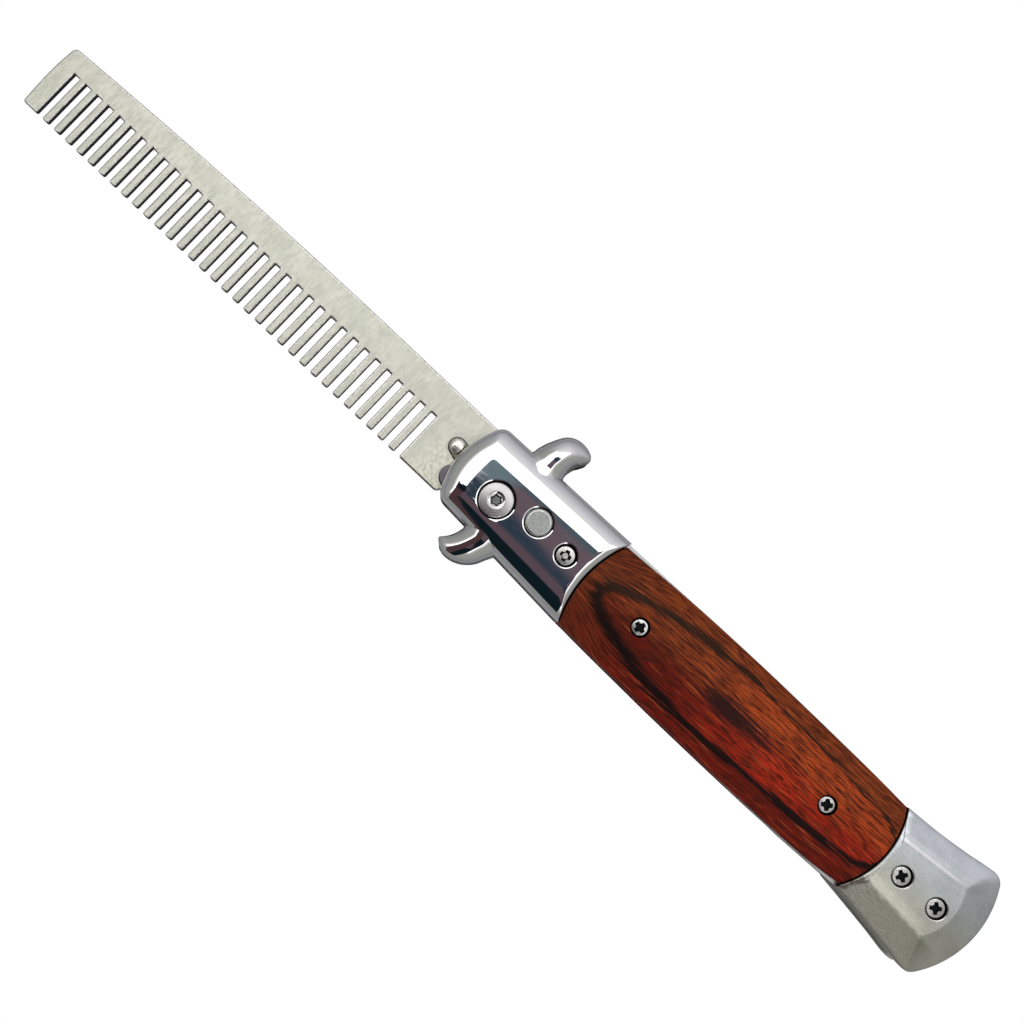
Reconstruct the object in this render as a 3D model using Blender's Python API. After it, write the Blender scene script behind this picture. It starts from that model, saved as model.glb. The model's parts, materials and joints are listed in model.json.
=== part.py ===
"""Folding pocket comb with a push button, shown open and lying on its back face.

A slotted steel comb plate swings on a pivot screw, as a folding knife's blade does, into a handle of two
liners. Each liner carries a bolster with two guard horns, a crowned wood scale and a faceted pommel.

Every length in the tables is in millimetres from the pivot's axis and the comb's middle plane: +X runs to
the pommel, +Y to the comb's spine and +Z to the face with the button. The objects are in metres.
"""

import math

import bpy
import numpy as np

MM = 0.001

# Reach of the whole object
TIP_X = -113.2
POMMEL_END_X = 115.7
UPPER_HORN_Y = 18.4
LOWER_HORN_Y = -13.46
TABLE_Z = 6.15

# The origin is under the middle of the bounding box, at the height of the back face
PIVOT = (-(TIP_X + POMMEL_END_X) / 2, -(UPPER_HORN_Y + LOWER_HORN_Y) / 2, TABLE_Z)

# Layers, as heights over the middle plane. The back half repeats them below it.
COMB_Z = 0.6
TANG_PLATE_Z = (0.7, 1.1)
TANG_BOSS_Z = 1.65
LINER_Z = (1.8, 2.7)
COVER_BASE_Z = 2.8
SPACER_Z = 1.65
CLEARANCE = 0.3

# Comb plate
SLOT_COUNT = 33
SLOT_PITCH = 2.804
SLOT_WIDTH = 1.36
LAST_SLOT_EDGE_X = -18.5
SLOT_END_Y = 3.98
SLOT_CORNER = 0.3
TOOTH_TIP_Y = -6.03
TOOTH_TIP_CHAMFER = (0.3, 0.4)
SPINE_Y = 10.0
SPINE_BEND_X = -28.9
SPINE_BEND_RADIUS = 1480.0
TIP_BOTTOM_X = -112.95
TIP_TOP_X = -112.85
TIP_CORNER = 0.5
TIP_FACE = ((-113.12, 4.0), (TIP_X, 1.0), (-113.14, -2.5))
HEEL = ((-9.9, TOOTH_TIP_Y), (-9.25, -5.75), (-9.0, -5.1), (-8.2, -4.9))
TANG_RADIUS = 6.0
TANG_ARC = (240.0, 474.0)
SPINE_START_X = -6.4
PIVOT_HOLE_RADIUS = 2.15

# Stop pin and the tang plate with its two lobes
PIN_AT = (-11.96, 2.65)
PIN_RADIUS = 0.8
PIN_HEAD_RADIUS = 1.45
PIN_HEAD_Z = (1.2, 1.7)
PIN_HEAD_RIM = 0.08
PIN_TAB_RADIUS = 1.75
LOBE_AT = (-9.21, -2.16)
LOBE_RADIUS = 1.8
TANG_BOSS_RADIUS = 4.2
TANG_PLATE_RADIUS = 4.4

# Joints between bolster, wood and pommel: arcs in plan, X = middle + sag * ((Y - centre) / half height)^2
JOINT_CENTRE_Y = 1.4
JOINT_HALF_HEIGHT = 9.6
BOLSTER_BACK_X = 20.8
BOLSTER_BACK_SAG = 2.2
WOOD_BACK_X = 93.54
WOOD_BACK_SAG = -2.4

# Bolster: outline, flat table and the shoulder between them
BOLSTER_FRONT_X = -10.53
BOLSTER_FRONT_CORNER_TOP = (-7.75, 10.80)
BOLSTER_FRONT_CORNER_BOTTOM = (-7.9, -6.55)
BOLSTER_CORNER_RADIUS = 1.4
BOLSTER_BACK_TOP_Y = 11.26
BOLSTER_BACK_BOTTOM_Y = -8.25
BOLSTER_TABLE_X = (-5.5, 19.5)
BOLSTER_TABLE_BOTTOM_Y = -2.5
BOLSTER_TABLE_TOP_Y = (5.1, 5.8)
BOLSTER_TABLE_CORNER_RADIUS = 0.8
BOLSTER_WALL_Z = 3.6
SHOULDER_POWER = 2.6

# Wood scale: station X, lower edge Y, upper edge Y
SCALE_EDGES = (
    (20.0, -8.25, 10.80),
    (25.5, -8.43, 10.95),
    (36.0, -8.58, 11.18),
    (47.0, -8.77, 11.35),
    (58.0, -8.79, 11.45),
    (68.7, -8.74, 11.40),
    (79.5, -8.56, 11.29),
    (87.0, -8.25, 11.15),
    (94.0, -7.50, 10.90),
)
SCALE_WALL_Z = 3.7
SCALE_CROWN_Z = 5.95
SCALE_CROWN_POWER = 2.3

# Pommel: edges in plan with X, Y, and the flat table inside them
POMMEL_LOWER_EDGE = ((98.3, -9.13), (104.6, -9.96), (108.7, -10.62), (110.9, -10.8))
POMMEL_UPPER_EDGE = ((111.0, 13.22), (108.0, 12.82), (104.5, 12.2), (98.3, 11.42))
POMMEL_FRONT_Y = (-8.3, 10.93)
POMMEL_END_RADIUS = 19.9
POMMEL_END_CENTRE_Y = 1.84
POMMEL_END_ANGLES = (-38.0, 33.4)
POMMEL_TABLE_LOWER = ((99.0, -3.66), (103.5, -3.93), (106.5, -4.1), (108.1, -4.2))
POMMEL_TABLE_UPPER = ((108.2, 7.4), (106.5, 7.23), (103.5, 6.92), (99.0, 6.46))
POMMEL_TABLE_FRONT = ((94.6, -3.4), (94.5, 6.0))
POMMEL_TABLE_END_X = 109.9
POMMEL_WALL_Z = 4.95
POMMEL_EDGE_HEIGHT = 0.2

# Guard horns, root to tip: front edge X, Y, rear edge X, Y, ridge height Z
UPPER_HORN = (
    (-1.25, 8.00, 5.90, 8.00, 5.30),
    (-1.17, 11.08, 5.99, 11.31, 5.25),
    (-0.27, 14.35, 6.02, 13.20, 5.05),
    (1.17, 16.96, 6.35, 14.50, 4.80),
    (2.97, 18.22, 6.80, 15.20, 4.55),
    (5.13, 18.40, 7.15, 15.80, 4.25),
    (6.75, 17.86, 7.40, 16.35, 3.90),
    (7.30, 17.25, 7.47, 16.80, 3.60),
)
LOWER_HORN = (
    (-0.70, -4.50, 6.60, -4.50, 5.30),
    (-0.90, -7.05, 6.50, -7.50, 5.25),
    (-1.10, -8.40, 5.99, -8.78, 5.10),
    (-1.60, -9.73, 5.05, -10.67, 4.90),
    (-2.20, -10.70, 3.42, -12.30, 4.65),
    (-2.88, -11.48, 1.53, -13.24, 4.30),
    (-2.98, -11.75, -0.31, -13.46, 3.95),
    (-2.85, -12.05, -1.71, -13.10, 3.60),
)
HORN_BASE_Z = 1.9
HORN_EDGE_Z = 3.3

# Liner outline behind its front end: station X, lower edge Y, upper edge Y
LINER_EDGES = (
    (-5.5, -6.20, 10.30),
    (6.0, -7.10, 10.60),
    (22.0, -7.95, 11.00),
    (36.0, -8.35, 11.25),
    (58.0, -8.55, 11.30),
    (80.0, -8.65, 11.10),
    (92.0, -8.20, 10.75),
    (100.0, -9.00, 11.30),
    (110.5, -10.40, 12.70),
)
LINER_FRONT = ((-7.2, 8.6), (-8.6, 5.0), (-9.1, 1.5), (-8.6, -2.0), (-7.4, -5.2))
LINER_END = ((113.0, -7.5), (114.6, -3.0), (115.2, 1.84), (114.6, 6.8), (112.6, 11.6))

# Back spacer between the liners, over the closed comb's teeth
SPACER_LOWER_Y = 6.4
SPACER_FRONT = ((-5.4, 10.0), (-1.6, SPACER_LOWER_Y))
SPACER_END_X = 113.0

# Fasteners: name, X, Y, seat radius, head radius, depth of the head below the table's height
SCREWS = (
    ("bolster_screw", 15.79, 1.31, 2.2, 1.55, 0.40),
    ("scale_screw_1", 34.22, 1.16, 1.9, 1.6, 0.60),
    ("scale_screw_2", 80.15, 1.14, 1.9, 1.6, 0.60),
    ("pommel_screw_1", 98.47, 1.07, 2.15, 1.8, 0.40),
    ("pommel_screw_2", 106.79, 1.07, 2.15, 1.8, 0.40),
)
SCREW_HEAD_HEIGHT = 1.2
SCREW_SHAFT_RADIUS = 0.85
SCREW_TIP_Z = 1.95
SCREW_BORE_RADIUS = 1.0
CROSS_REACH = 0.62
CROSS_WIDTH = 0.26
CROSS_DEPTH = 0.8
SCREW_EDGE = 0.35

# Pivot: a screw from the front into a barrel nut from the back
PIVOT_HEAD_RADIUS = 3.25
PIVOT_SEAT_RADIUS = 3.72
PIVOT_HEAD_Z = (4.75, 5.95)
PIVOT_SEAT_Z = 4.6
PIVOT_HEAD_CHAMFER = 0.25
PIVOT_SHAFT_END_Z = -3.5
BARREL_RADIUS = 2.0
BARREL_BORE_RADIUS = 1.45
PIVOT_SHAFT_RADIUS = 1.3
LOBE_DRIVE_RADII = (1.3, 0.98)
LOBE_DRIVE_DEPTH = 0.9

# Push button, with a flange under the bolster that keeps it in
BUTTON_AT = (8.24, 2.26)
BUTTON_RADIUS = 2.48
BUTTON_FACE_RADIUS = 2.05
BUTTON_TOP_Z = 6.6
BUTTON_EDGE_HEIGHT = 0.3
BUTTON_FLANGE_RADIUS = 3.2
BUTTON_FLANGE_Z = (1.95, 2.65)
BUTTON_BORE_RADIUS = 2.8
BUTTON_LINER_BORE_RADIUS = 3.45

# Number of sides of round pieces
PIVOT_SIDES = 24
SCREW_SIDES = 16


def clear_scene():
    for old in list(bpy.data.objects):
        bpy.data.objects.remove(old, do_unlink=True)


def finish(name, colour, metallic, roughness):
    """A Principled material with the piece's plain colour."""
    material = bpy.data.materials.new(name)
    material.use_nodes = True
    shader = material.node_tree.nodes["Principled BSDF"]
    shader.inputs["Base Color"].default_value = (*colour, 1.0)
    shader.inputs["Metallic"].default_value = metallic
    shader.inputs["Roughness"].default_value = roughness
    return material


def add_object(name, points, faces, material=None, at=(0.0, 0.0)):
    """An object from millimetre points that are measured from its own axis, at X, Y from the pivot."""
    mesh = bpy.data.meshes.new(name)
    mesh.from_pydata([tuple(p) for p in np.asarray(points, float) * MM], [], faces)
    mesh.update()
    mesh.shade_smooth()
    mesh.set_sharp_from_angle(angle=math.radians(35))
    made = bpy.data.objects.new(name, mesh)
    bpy.context.scene.collection.objects.link(made)
    made.location = ((PIVOT[0] + at[0]) * MM, (PIVOT[1] + at[1]) * MM, PIVOT[2] * MM)
    if material:
        mesh.materials.append(material)
    return made


def as_helper(made):
    made.hide_render = True
    made.display_type = "WIRE"
    return made


def boolean(target, operation, helper):
    modifier = target.modifiers.new(helper.name, "BOOLEAN")
    modifier.operation = operation
    modifier.solver = "EXACT"
    modifier.object = as_helper(helper)


def loft(rings, side=1):
    """Points and faces of a solid through rings of equal length, each anticlockwise from above, low to high.

    A side of -1 mirrors the solid through the middle plane and turns its faces round.
    """
    rings = [np.asarray(ring, float) for ring in rings]
    count = len(rings[0])
    points = np.concatenate(rings) * (1.0, 1.0, side)
    faces = [list(range(count))[::-1]]
    for level in range(len(rings) - 1):
        low, high = level * count, (level + 1) * count
        for i in range(count):
            j = (i + 1) % count
            faces.append([low + i, low + j, high + j, high + i])
    faces.append(list(range((len(rings) - 1) * count, len(rings) * count)))
    return points, faces if side > 0 else [face[::-1] for face in faces]


def ring_at(outline, z):
    outline = np.asarray(outline, float)
    return np.column_stack([outline, np.full(len(outline), z)])


def plate(outline, z_low, z_high, side=1):
    return loft([ring_at(outline, z_low), ring_at(outline, z_high)], side)


def arc(centre, radius, start, end, count):
    angles = np.radians(np.linspace(start, end, count))
    return np.column_stack([centre[0] + radius * np.cos(angles), centre[1] + radius * np.sin(angles)])


def turned(profile, sides, at=(0.0, 0.0), side=1):
    """A solid of revolution about Z from radius, height pairs, low to high."""
    circle = arc((0.0, 0.0), 1.0, 0.0, 360.0 - 360.0 / sides, sides)
    return loft([ring_at(circle * r + at, z) for r, z in profile], side)


def joined(solids):
    """Several disjoint solids as one list of points and faces."""
    points, faces, used = [], [], 0
    for solid_points, solid_faces in solids:
        points.append(solid_points)
        faces += [[used + i for i in face] for face in solid_faces]
        used += len(solid_points)
    return np.concatenate(points), faces


def height_field(x, y, z, base_z, side=1):
    """A solid under a grid of points, closed by upright walls and one flat face at base_z."""
    rows, columns = x.shape
    top = np.column_stack([x.ravel(), y.ravel(), z.ravel()])
    order = [(i, 0) for i in range(rows)]
    order += [(rows - 1, j) for j in range(1, columns)]
    order += [(i, columns - 1) for i in range(rows - 2, -1, -1)]
    order += [(0, j) for j in range(columns - 2, 0, -1)]
    rim = [i * columns + j for i, j in order]
    foot = top[rim] * (1.0, 1.0, 0.0) + (0.0, 0.0, base_z)
    faces = []
    for i in range(rows - 1):
        for j in range(columns - 1):
            a = i * columns + j
            faces.append([a, a + columns, a + columns + 1, a + 1])
    first = rows * columns
    for k in range(len(rim)):
        n = (k + 1) % len(rim)
        faces.append([first + k, first + n, rim[n], rim[k]])
    faces.append([first + k for k in range(len(rim))][::-1])
    points = np.concatenate([top, foot]) * (1.0, 1.0, side)
    return points, faces if side > 0 else [face[::-1] for face in faces]


def joint_x(y, middle, sag):
    return middle + sag * ((np.asarray(y) - JOINT_CENTRE_Y) / JOINT_HALF_HEIGHT) ** 2


def spine_y(x):
    """The comb's spine: straight by the handle, then a wide arc that falls to the tip."""
    past_bend = np.maximum(0.0, SPINE_BEND_X - np.asarray(x))
    return SPINE_Y - past_bend**2 / (2.0 * SPINE_BEND_RADIUS)


def comb_outline():
    """Anticlockwise: teeth from tip to heel, the round tang, then the spine back to the tip."""
    points = [(TIP_BOTTOM_X, TOOTH_TIP_Y + TIP_CORNER), (TIP_BOTTOM_X + TIP_CORNER, TOOTH_TIP_Y)]
    chamfer_x, chamfer_y = TOOTH_TIP_CHAMFER
    for i in range(SLOT_COUNT):
        right = LAST_SLOT_EDGE_X - (SLOT_COUNT - 1 - i) * SLOT_PITCH
        left = right - SLOT_WIDTH
        points += [
            (left - chamfer_x, TOOTH_TIP_Y),
            (left, TOOTH_TIP_Y + chamfer_y),
            (left, SLOT_END_Y - SLOT_CORNER),
            (left + SLOT_CORNER, SLOT_END_Y),
            (right - SLOT_CORNER, SLOT_END_Y),
            (right, SLOT_END_Y - SLOT_CORNER),
            (right, TOOTH_TIP_Y + chamfer_y),
            (right + chamfer_x, TOOTH_TIP_Y),
        ]
    points += HEEL
    points += [tuple(p) for p in arc((0.0, 0.0), TANG_RADIUS, *TANG_ARC, 20)]
    points.append((SPINE_START_X, SPINE_Y))
    for x in np.linspace(SPINE_BEND_X, TIP_TOP_X + 1.1, 9):
        points.append((float(x), float(spine_y(x))))
    corner_y = float(spine_y(TIP_TOP_X))
    points += [(TIP_TOP_X + 0.3, corner_y - 0.3), (TIP_TOP_X, corner_y - 1.1)]
    points += TIP_FACE
    return points


def comb_blade(steel):
    made = add_object("comb_blade", *plate(comb_outline(), -COMB_Z, COMB_Z), steel)
    holes = [
        turned([(PIVOT_HOLE_RADIUS, -2.0), (PIVOT_HOLE_RADIUS, 2.0)], PIVOT_SIDES),
        turned([(PIN_RADIUS + 0.1, -2.0), (PIN_RADIUS + 0.1, 2.0)], SCREW_SIDES, PIN_AT),
    ]
    boolean(made, "DIFFERENCE", add_object("comb_holes_cutter", *joined(holes)))


def stop_pin(steel):
    """A rivet with a domed head on each face of the comb."""
    low, high = PIN_HEAD_Z
    rim = low + PIN_HEAD_RIM
    dome = [(PIN_HEAD_RADIUS * math.cos(a), rim + (high - rim) * math.sin(a))
            for a in np.radians((0, 25, 50, 72, 84))]
    upper = [(PIN_RADIUS, low), (PIN_HEAD_RADIUS, low), *dome]
    lower = [(r, -z) for r, z in reversed(upper)]
    add_object("stop_pin", *turned(lower + upper, SCREW_SIDES), steel, PIN_AT)


def tang_plate_outline():
    """A disc about the pivot with one tab round the stop pin and one free lobe, both with round ends."""
    pin_angle = math.degrees(math.atan2(PIN_AT[1], PIN_AT[0])) % 360.0
    lobe_angle = math.degrees(math.atan2(LOBE_AT[1], LOBE_AT[0])) % 360.0
    meeting = math.radians((pin_angle + lobe_angle) / 2.0)
    reach = (PIN_TAB_RADIUS + LOBE_RADIUS) / 2.0 / math.sin(math.radians((lobe_angle - pin_angle) / 2.0))
    spread = math.degrees(math.asin(LOBE_RADIUS / TANG_BOSS_RADIUS)) + 2.0
    return np.concatenate([
        arc((0.0, 0.0), TANG_PLATE_RADIUS, lobe_angle + spread, pin_angle - spread + 360.0, 18),
        arc(PIN_AT, PIN_TAB_RADIUS, pin_angle - 90.0, pin_angle + 90.0, 9),
        [(reach * math.cos(meeting), reach * math.sin(meeting))],
        arc(LOBE_AT, LOBE_RADIUS, lobe_angle - 90.0, lobe_angle + 90.0, 9),
    ])


def tang_plate(face, side, steel):
    outline = tang_plate_outline()
    angles = np.arctan2(outline[:, 1], outline[:, 0])
    boss = np.column_stack([np.cos(angles), np.sin(angles)]) * TANG_BOSS_RADIUS
    low, high = TANG_PLATE_Z
    rings = [ring_at(outline, low), ring_at(outline, high), ring_at(boss, high), ring_at(boss, TANG_BOSS_Z)]
    made = add_object(f"tang_plate_{face}", *loft(rings, side), steel)
    holes = [
        turned([(PIVOT_HOLE_RADIUS, -3.0), (PIVOT_HOLE_RADIUS, 3.0)], PIVOT_SIDES),
        turned([(PIN_RADIUS + 0.1, -3.0), (PIN_RADIUS + 0.1, 3.0)], SCREW_SIDES, PIN_AT),
    ]
    boolean(made, "DIFFERENCE", add_object(f"tang_plate_{face}_cutter", *joined(holes)))


def liner(face, side, steel):
    lower = [(x, low) for x, low, _ in LINER_EDGES]
    upper = [(x, high) for x, _, high in LINER_EDGES]
    outline = lower + list(LINER_END) + upper[::-1] + list(LINER_FRONT)
    made = add_object(f"liner_{face}", *plate(outline, *LINER_Z, side), steel)
    holes = [turned([(PIVOT_HOLE_RADIUS, -5.0), (PIVOT_HOLE_RADIUS, 5.0)], PIVOT_SIDES)]
    for _, x, y, *_ in SCREWS:
        holes.append(turned([(SCREW_BORE_RADIUS, -5.0), (SCREW_BORE_RADIUS, 5.0)], SCREW_SIDES, (x, y)))
    if side > 0:
        bore = BUTTON_LINER_BORE_RADIUS
        holes.append(turned([(bore, -5.0), (bore, 5.0)], PIVOT_SIDES, BUTTON_AT))
    boolean(made, "DIFFERENCE", add_object(f"liner_{face}_cutter", *joined(holes)))


def back_spacer(steel):
    upper = [(x, high - CLEARANCE) for x, _, high in LINER_EDGES if x > 0]
    start, foot = SPACER_FRONT
    outline = [foot, (SPACER_END_X, SPACER_LOWER_Y), (SPACER_END_X, 10.5), *upper[::-1], start]
    add_object("back_spacer", *plate(outline, -SPACER_Z, SPACER_Z), steel)


def shoulder_z(inset):
    """Height at a share of the way in from the wall to the table: steep at the wall, flat at the table."""
    rise = (1.0 - (1.0 - inset) ** SHOULDER_POWER) ** (1.0 / SHOULDER_POWER)
    return BOLSTER_WALL_Z + (TABLE_Z - BOLSTER_WALL_Z) * rise


def round_corner(before, corner, after, radius, count):
    """Points of a curve that leaves the corner's two sides a radius away from it."""
    before, corner, after = (np.asarray(p, float) for p in (before, corner, after))
    start = corner + (before - corner) * radius / np.linalg.norm(before - corner)
    end = corner + (after - corner) * radius / np.linalg.norm(after - corner)
    t = np.linspace(0.0, 1.0, count)[:, None]
    return (1 - t) ** 2 * start + 2 * t * (1 - t) * corner + t**2 * end


def bolster_outline(back, top, bottom, front_top, front_bottom, front_x, radius):
    """Anticlockwise from the lower back corner: back joint, top edge, bowed front and bottom edge."""
    front_y = np.linspace(front_top[1], front_bottom[1], 7)[1:-1]
    middle = (front_top[1] + front_bottom[1]) / 2.0
    half = (front_top[1] - front_bottom[1]) / 2.0
    share = (front_y - middle) / half
    chord = np.interp(-front_y, [-front_top[1], -front_bottom[1]], [front_top[0], front_bottom[0]])
    bow = front_x - (front_top[0] + front_bottom[0]) / 2.0
    front = np.column_stack([chord + bow * (1.0 - share**2), front_y])
    return np.concatenate([
        back,
        np.linspace(back[-1], front_top, 4)[1:-1],
        round_corner(top, front_top, front[0], radius, 4),
        front,
        round_corner(front[-1], front_bottom, bottom, radius, 4),
        np.linspace(front_bottom, back[0], 4)[1:-1],
    ])


def bolster_rings():
    back_y = np.linspace(BOLSTER_BACK_BOTTOM_Y, BOLSTER_BACK_TOP_Y, 7)
    back = np.column_stack([joint_x(back_y, BOLSTER_BACK_X, BOLSTER_BACK_SAG), back_y])
    outer = bolster_outline(back, back[-1], back[0], BOLSTER_FRONT_CORNER_TOP,
                            BOLSTER_FRONT_CORNER_BOTTOM, BOLSTER_FRONT_X, BOLSTER_CORNER_RADIUS)
    table_y = np.linspace(BOLSTER_TABLE_BOTTOM_Y, BOLSTER_TABLE_TOP_Y[1], 7)
    table_back = np.column_stack([np.full(7, BOLSTER_TABLE_X[1]), table_y])
    top = (BOLSTER_TABLE_X[0], BOLSTER_TABLE_TOP_Y[0])
    bottom = (BOLSTER_TABLE_X[0], BOLSTER_TABLE_BOTTOM_Y)
    table = bolster_outline(table_back, table_back[-1], table_back[0], top, bottom,
                            BOLSTER_TABLE_X[0] - 0.2, BOLSTER_TABLE_CORNER_RADIUS)
    rings = [ring_at(outer, COVER_BASE_Z), ring_at(outer, BOLSTER_WALL_Z)]
    for inset in (0.04, 0.13, 0.30, 0.60, 1.0):
        rings.append(ring_at(outer * (1.0 - inset) + table * inset, shoulder_z(inset)))
    return rings


def horn(stations, side):
    """A horn as a grid of root-to-tip stations, each with a rounded crown between its two edges."""
    rows = np.array(stations)
    across = -np.cos(np.linspace(0.0, math.pi, 7))
    share = (across + 1.0) / 2.0
    x = rows[:, 0:1] * (1.0 - share) + rows[:, 2:3] * share
    y = rows[:, 1:2] * (1.0 - share) + rows[:, 3:4] * share
    z = HORN_EDGE_Z + (rows[:, 4:5] - HORN_EDGE_Z) * np.sqrt(np.maximum(0.0, 1.0 - across**2))
    if np.cross((x[1, 0] - x[0, 0], y[1, 0] - y[0, 0]), (x[0, 1] - x[0, 0], y[0, 1] - y[0, 0])) < 0:
        x, y, z = x[:, ::-1], y[:, ::-1], z[:, ::-1]
    return height_field(x, y, z, HORN_BASE_Z, side)


def stepped_hole(seat_radius, seat_z, bore_radius, at, side):
    return turned([(bore_radius, 1.0), (bore_radius, seat_z), (seat_radius, seat_z), (seat_radius, 8.0)],
                  PIVOT_SIDES if seat_radius > 2.5 else SCREW_SIDES + 4, at, side)


def screw_hole(screw, side):
    _, x, y, seat_radius, _, depth = screw
    seat_z = TABLE_Z - depth - SCREW_HEAD_HEIGHT - 0.15
    return stepped_hole(seat_radius, seat_z, SCREW_BORE_RADIUS, (x, y), side)


def bolster(face, side, chrome):
    made = add_object(f"bolster_{face}", *loft(bolster_rings(), side), chrome)
    for name, stations in (("upper", UPPER_HORN), ("lower", LOWER_HORN)):
        boolean(made, "UNION", add_object(f"bolster_{face}_{name}_horn", *horn(stations, side)))
    liner_room = [(-12.0, -7.4), (24.0, -8.6), (24.0, 11.6), (-12.0, 10.95)]
    room = plate(liner_room, 0.0, COVER_BASE_Z, side)
    boolean(made, "DIFFERENCE", add_object(f"bolster_{face}_liner_room", *room))
    holes = [
        stepped_hole(PIVOT_SEAT_RADIUS, PIVOT_SEAT_Z, PIVOT_HOLE_RADIUS, (0.0, 0.0), side),
        screw_hole(SCREWS[0], side),
    ]
    if side > 0:
        holes.append(turned([(BUTTON_BORE_RADIUS, 1.0), (BUTTON_BORE_RADIUS, 8.0)], PIVOT_SIDES, BUTTON_AT))
    boolean(made, "DIFFERENCE", add_object(f"bolster_{face}_cutter", *joined(holes)))


def scale(face, side, wood):
    """The wood grip: a superellipse crown across, with ends that follow the bolster and pommel joints."""
    edges = np.array(SCALE_EDGES)
    along = np.linspace(0.0, 1.0, 11)[:, None]
    across = -np.cos(np.linspace(0.0, math.pi, 13))[None, :]
    rough_x = BOLSTER_BACK_X + (WOOD_BACK_X - BOLSTER_BACK_X) * along
    low = np.interp(rough_x, edges[:, 0], edges[:, 1])
    high = np.interp(rough_x, edges[:, 0], edges[:, 2])
    y = (low + high) / 2.0 + (high - low) / 2.0 * across
    front = joint_x(y, BOLSTER_BACK_X, BOLSTER_BACK_SAG) + CLEARANCE
    back = joint_x(y, WOOD_BACK_X, WOOD_BACK_SAG)
    x = front * (1.0 - along) + back * along
    rise = np.maximum(0.0, 1.0 - np.abs(across) ** SCALE_CROWN_POWER) ** (1.0 / SCALE_CROWN_POWER)
    z = SCALE_WALL_Z + (SCALE_CROWN_Z - SCALE_WALL_Z) * rise + 0.0 * x
    made = add_object(f"scale_{face}", *height_field(x, y, z, COVER_BASE_Z, side), wood)
    holes = [screw_hole(screw, side) for screw in SCREWS[1:3]]
    boolean(made, "DIFFERENCE", add_object(f"scale_{face}_cutter", *joined(holes)))


def pommel_outlines():
    """The wall's outline and the table's, point for point, anticlockwise from the lower front corner."""
    low, high = POMMEL_FRONT_Y
    front_y = np.linspace(high, low, 7)
    front = np.column_stack([joint_x(front_y, WOOD_BACK_X, WOOD_BACK_SAG) + CLEARANCE, front_y])
    centre = (POMMEL_END_X - POMMEL_END_RADIUS, POMMEL_END_CENTRE_Y)
    lower_end, upper_end = POMMEL_END_ANGLES
    end = np.concatenate([
        arc(centre, POMMEL_END_RADIUS, lower_end, 0.0, 5),
        arc(centre, POMMEL_END_RADIUS, 0.0, upper_end, 5)[1:],
    ])
    outer = np.concatenate([POMMEL_LOWER_EDGE, end, POMMEL_UPPER_EDGE, front])
    end_y = np.linspace(POMMEL_TABLE_LOWER[-1][1], POMMEL_TABLE_UPPER[0][1], 9)
    swell = 1.0 - ((end_y - end_y.mean()) / (end_y[-1] - end_y.mean())) ** 2
    end_x = np.linspace(POMMEL_TABLE_LOWER[-1][0], POMMEL_TABLE_UPPER[0][0], 9)
    table_end = np.column_stack([end_x + (POMMEL_TABLE_END_X - end_x) * swell, end_y])
    table_end[0] += (0.15, 0.1)
    table_end[-1] += (0.15, -0.1)
    table_front = np.linspace(POMMEL_TABLE_FRONT[1], POMMEL_TABLE_FRONT[0], 7)
    table = np.concatenate([POMMEL_TABLE_LOWER, table_end, POMMEL_TABLE_UPPER, table_front])
    return outer, table


def pommel(face, side, alloy):
    """A faceted cap: upright walls, a small edge round and flat bevels up to a flat table."""
    outer, table = pommel_outlines()
    rings = [ring_at(outer, COVER_BASE_Z), ring_at(outer, POMMEL_WALL_Z)]
    for inset, z in ((0.04, POMMEL_WALL_Z + POMMEL_EDGE_HEIGHT), (1.0, TABLE_Z)):
        rings.append(ring_at(outer * (1.0 - inset) + table * inset, z))
    made = add_object(f"pommel_{face}", *loft(rings, side), alloy)
    holes = [screw_hole(screw, side) for screw in SCREWS[3:]]
    boolean(made, "DIFFERENCE", add_object(f"pommel_{face}_cutter", *joined(holes)))


def cross_outline():
    """Twelve corners of a cross recess."""
    w, r = CROSS_WIDTH, 1.0
    outline = []
    for turn in range(4):
        c, s = round(math.cos(turn * math.pi / 2)), round(math.sin(turn * math.pi / 2))
        for x, y in ((r, -w), (r, w), (w, w)):
            outline.append((x * c - y * s, x * s + y * c))
    return np.array(outline)


def small_screw(screw, face, side, nickel):
    """A pan-head screw with a cross recess, from its head down to its tip in the liner."""
    name, x, y, _, head_radius, depth = screw
    top = TABLE_Z - depth
    under = top - SCREW_HEAD_HEIGHT
    profile = [
        (SCREW_SHAFT_RADIUS, SCREW_TIP_Z),
        (SCREW_SHAFT_RADIUS, under),
        (head_radius, under),
        (head_radius, top - SCREW_EDGE),
        (head_radius * 0.88, top - 0.08),
        (head_radius * 0.7, top),
    ]
    stem, number = (name[:-2], name[-2:]) if name[-1].isdigit() else (name, "")
    node = f"{stem}_{face}{number}"
    made = add_object(node, *turned(profile, SCREW_SIDES, side=side), nickel, (x, y))
    outline = cross_outline() * (CROSS_REACH * head_radius)
    outline = np.clip(outline, -CROSS_REACH * head_radius, CROSS_REACH * head_radius)
    recess = loft([ring_at(outline * 0.75, top - CROSS_DEPTH), ring_at(outline * 1.05, top + 0.2)], side)
    boolean(made, "DIFFERENCE", add_object(f"{node}_cutter", *recess, at=(x, y)))


def star_outline():
    """A six-lobed drive: the radius swings between two values six times round."""
    angles = np.linspace(0.0, 2.0 * math.pi, 24, endpoint=False)
    outer, inner = LOBE_DRIVE_RADII
    radius = (outer + inner) / 2.0 + (outer - inner) / 2.0 * np.cos(6.0 * angles)
    return np.column_stack([radius * np.cos(angles), radius * np.sin(angles)])


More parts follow.
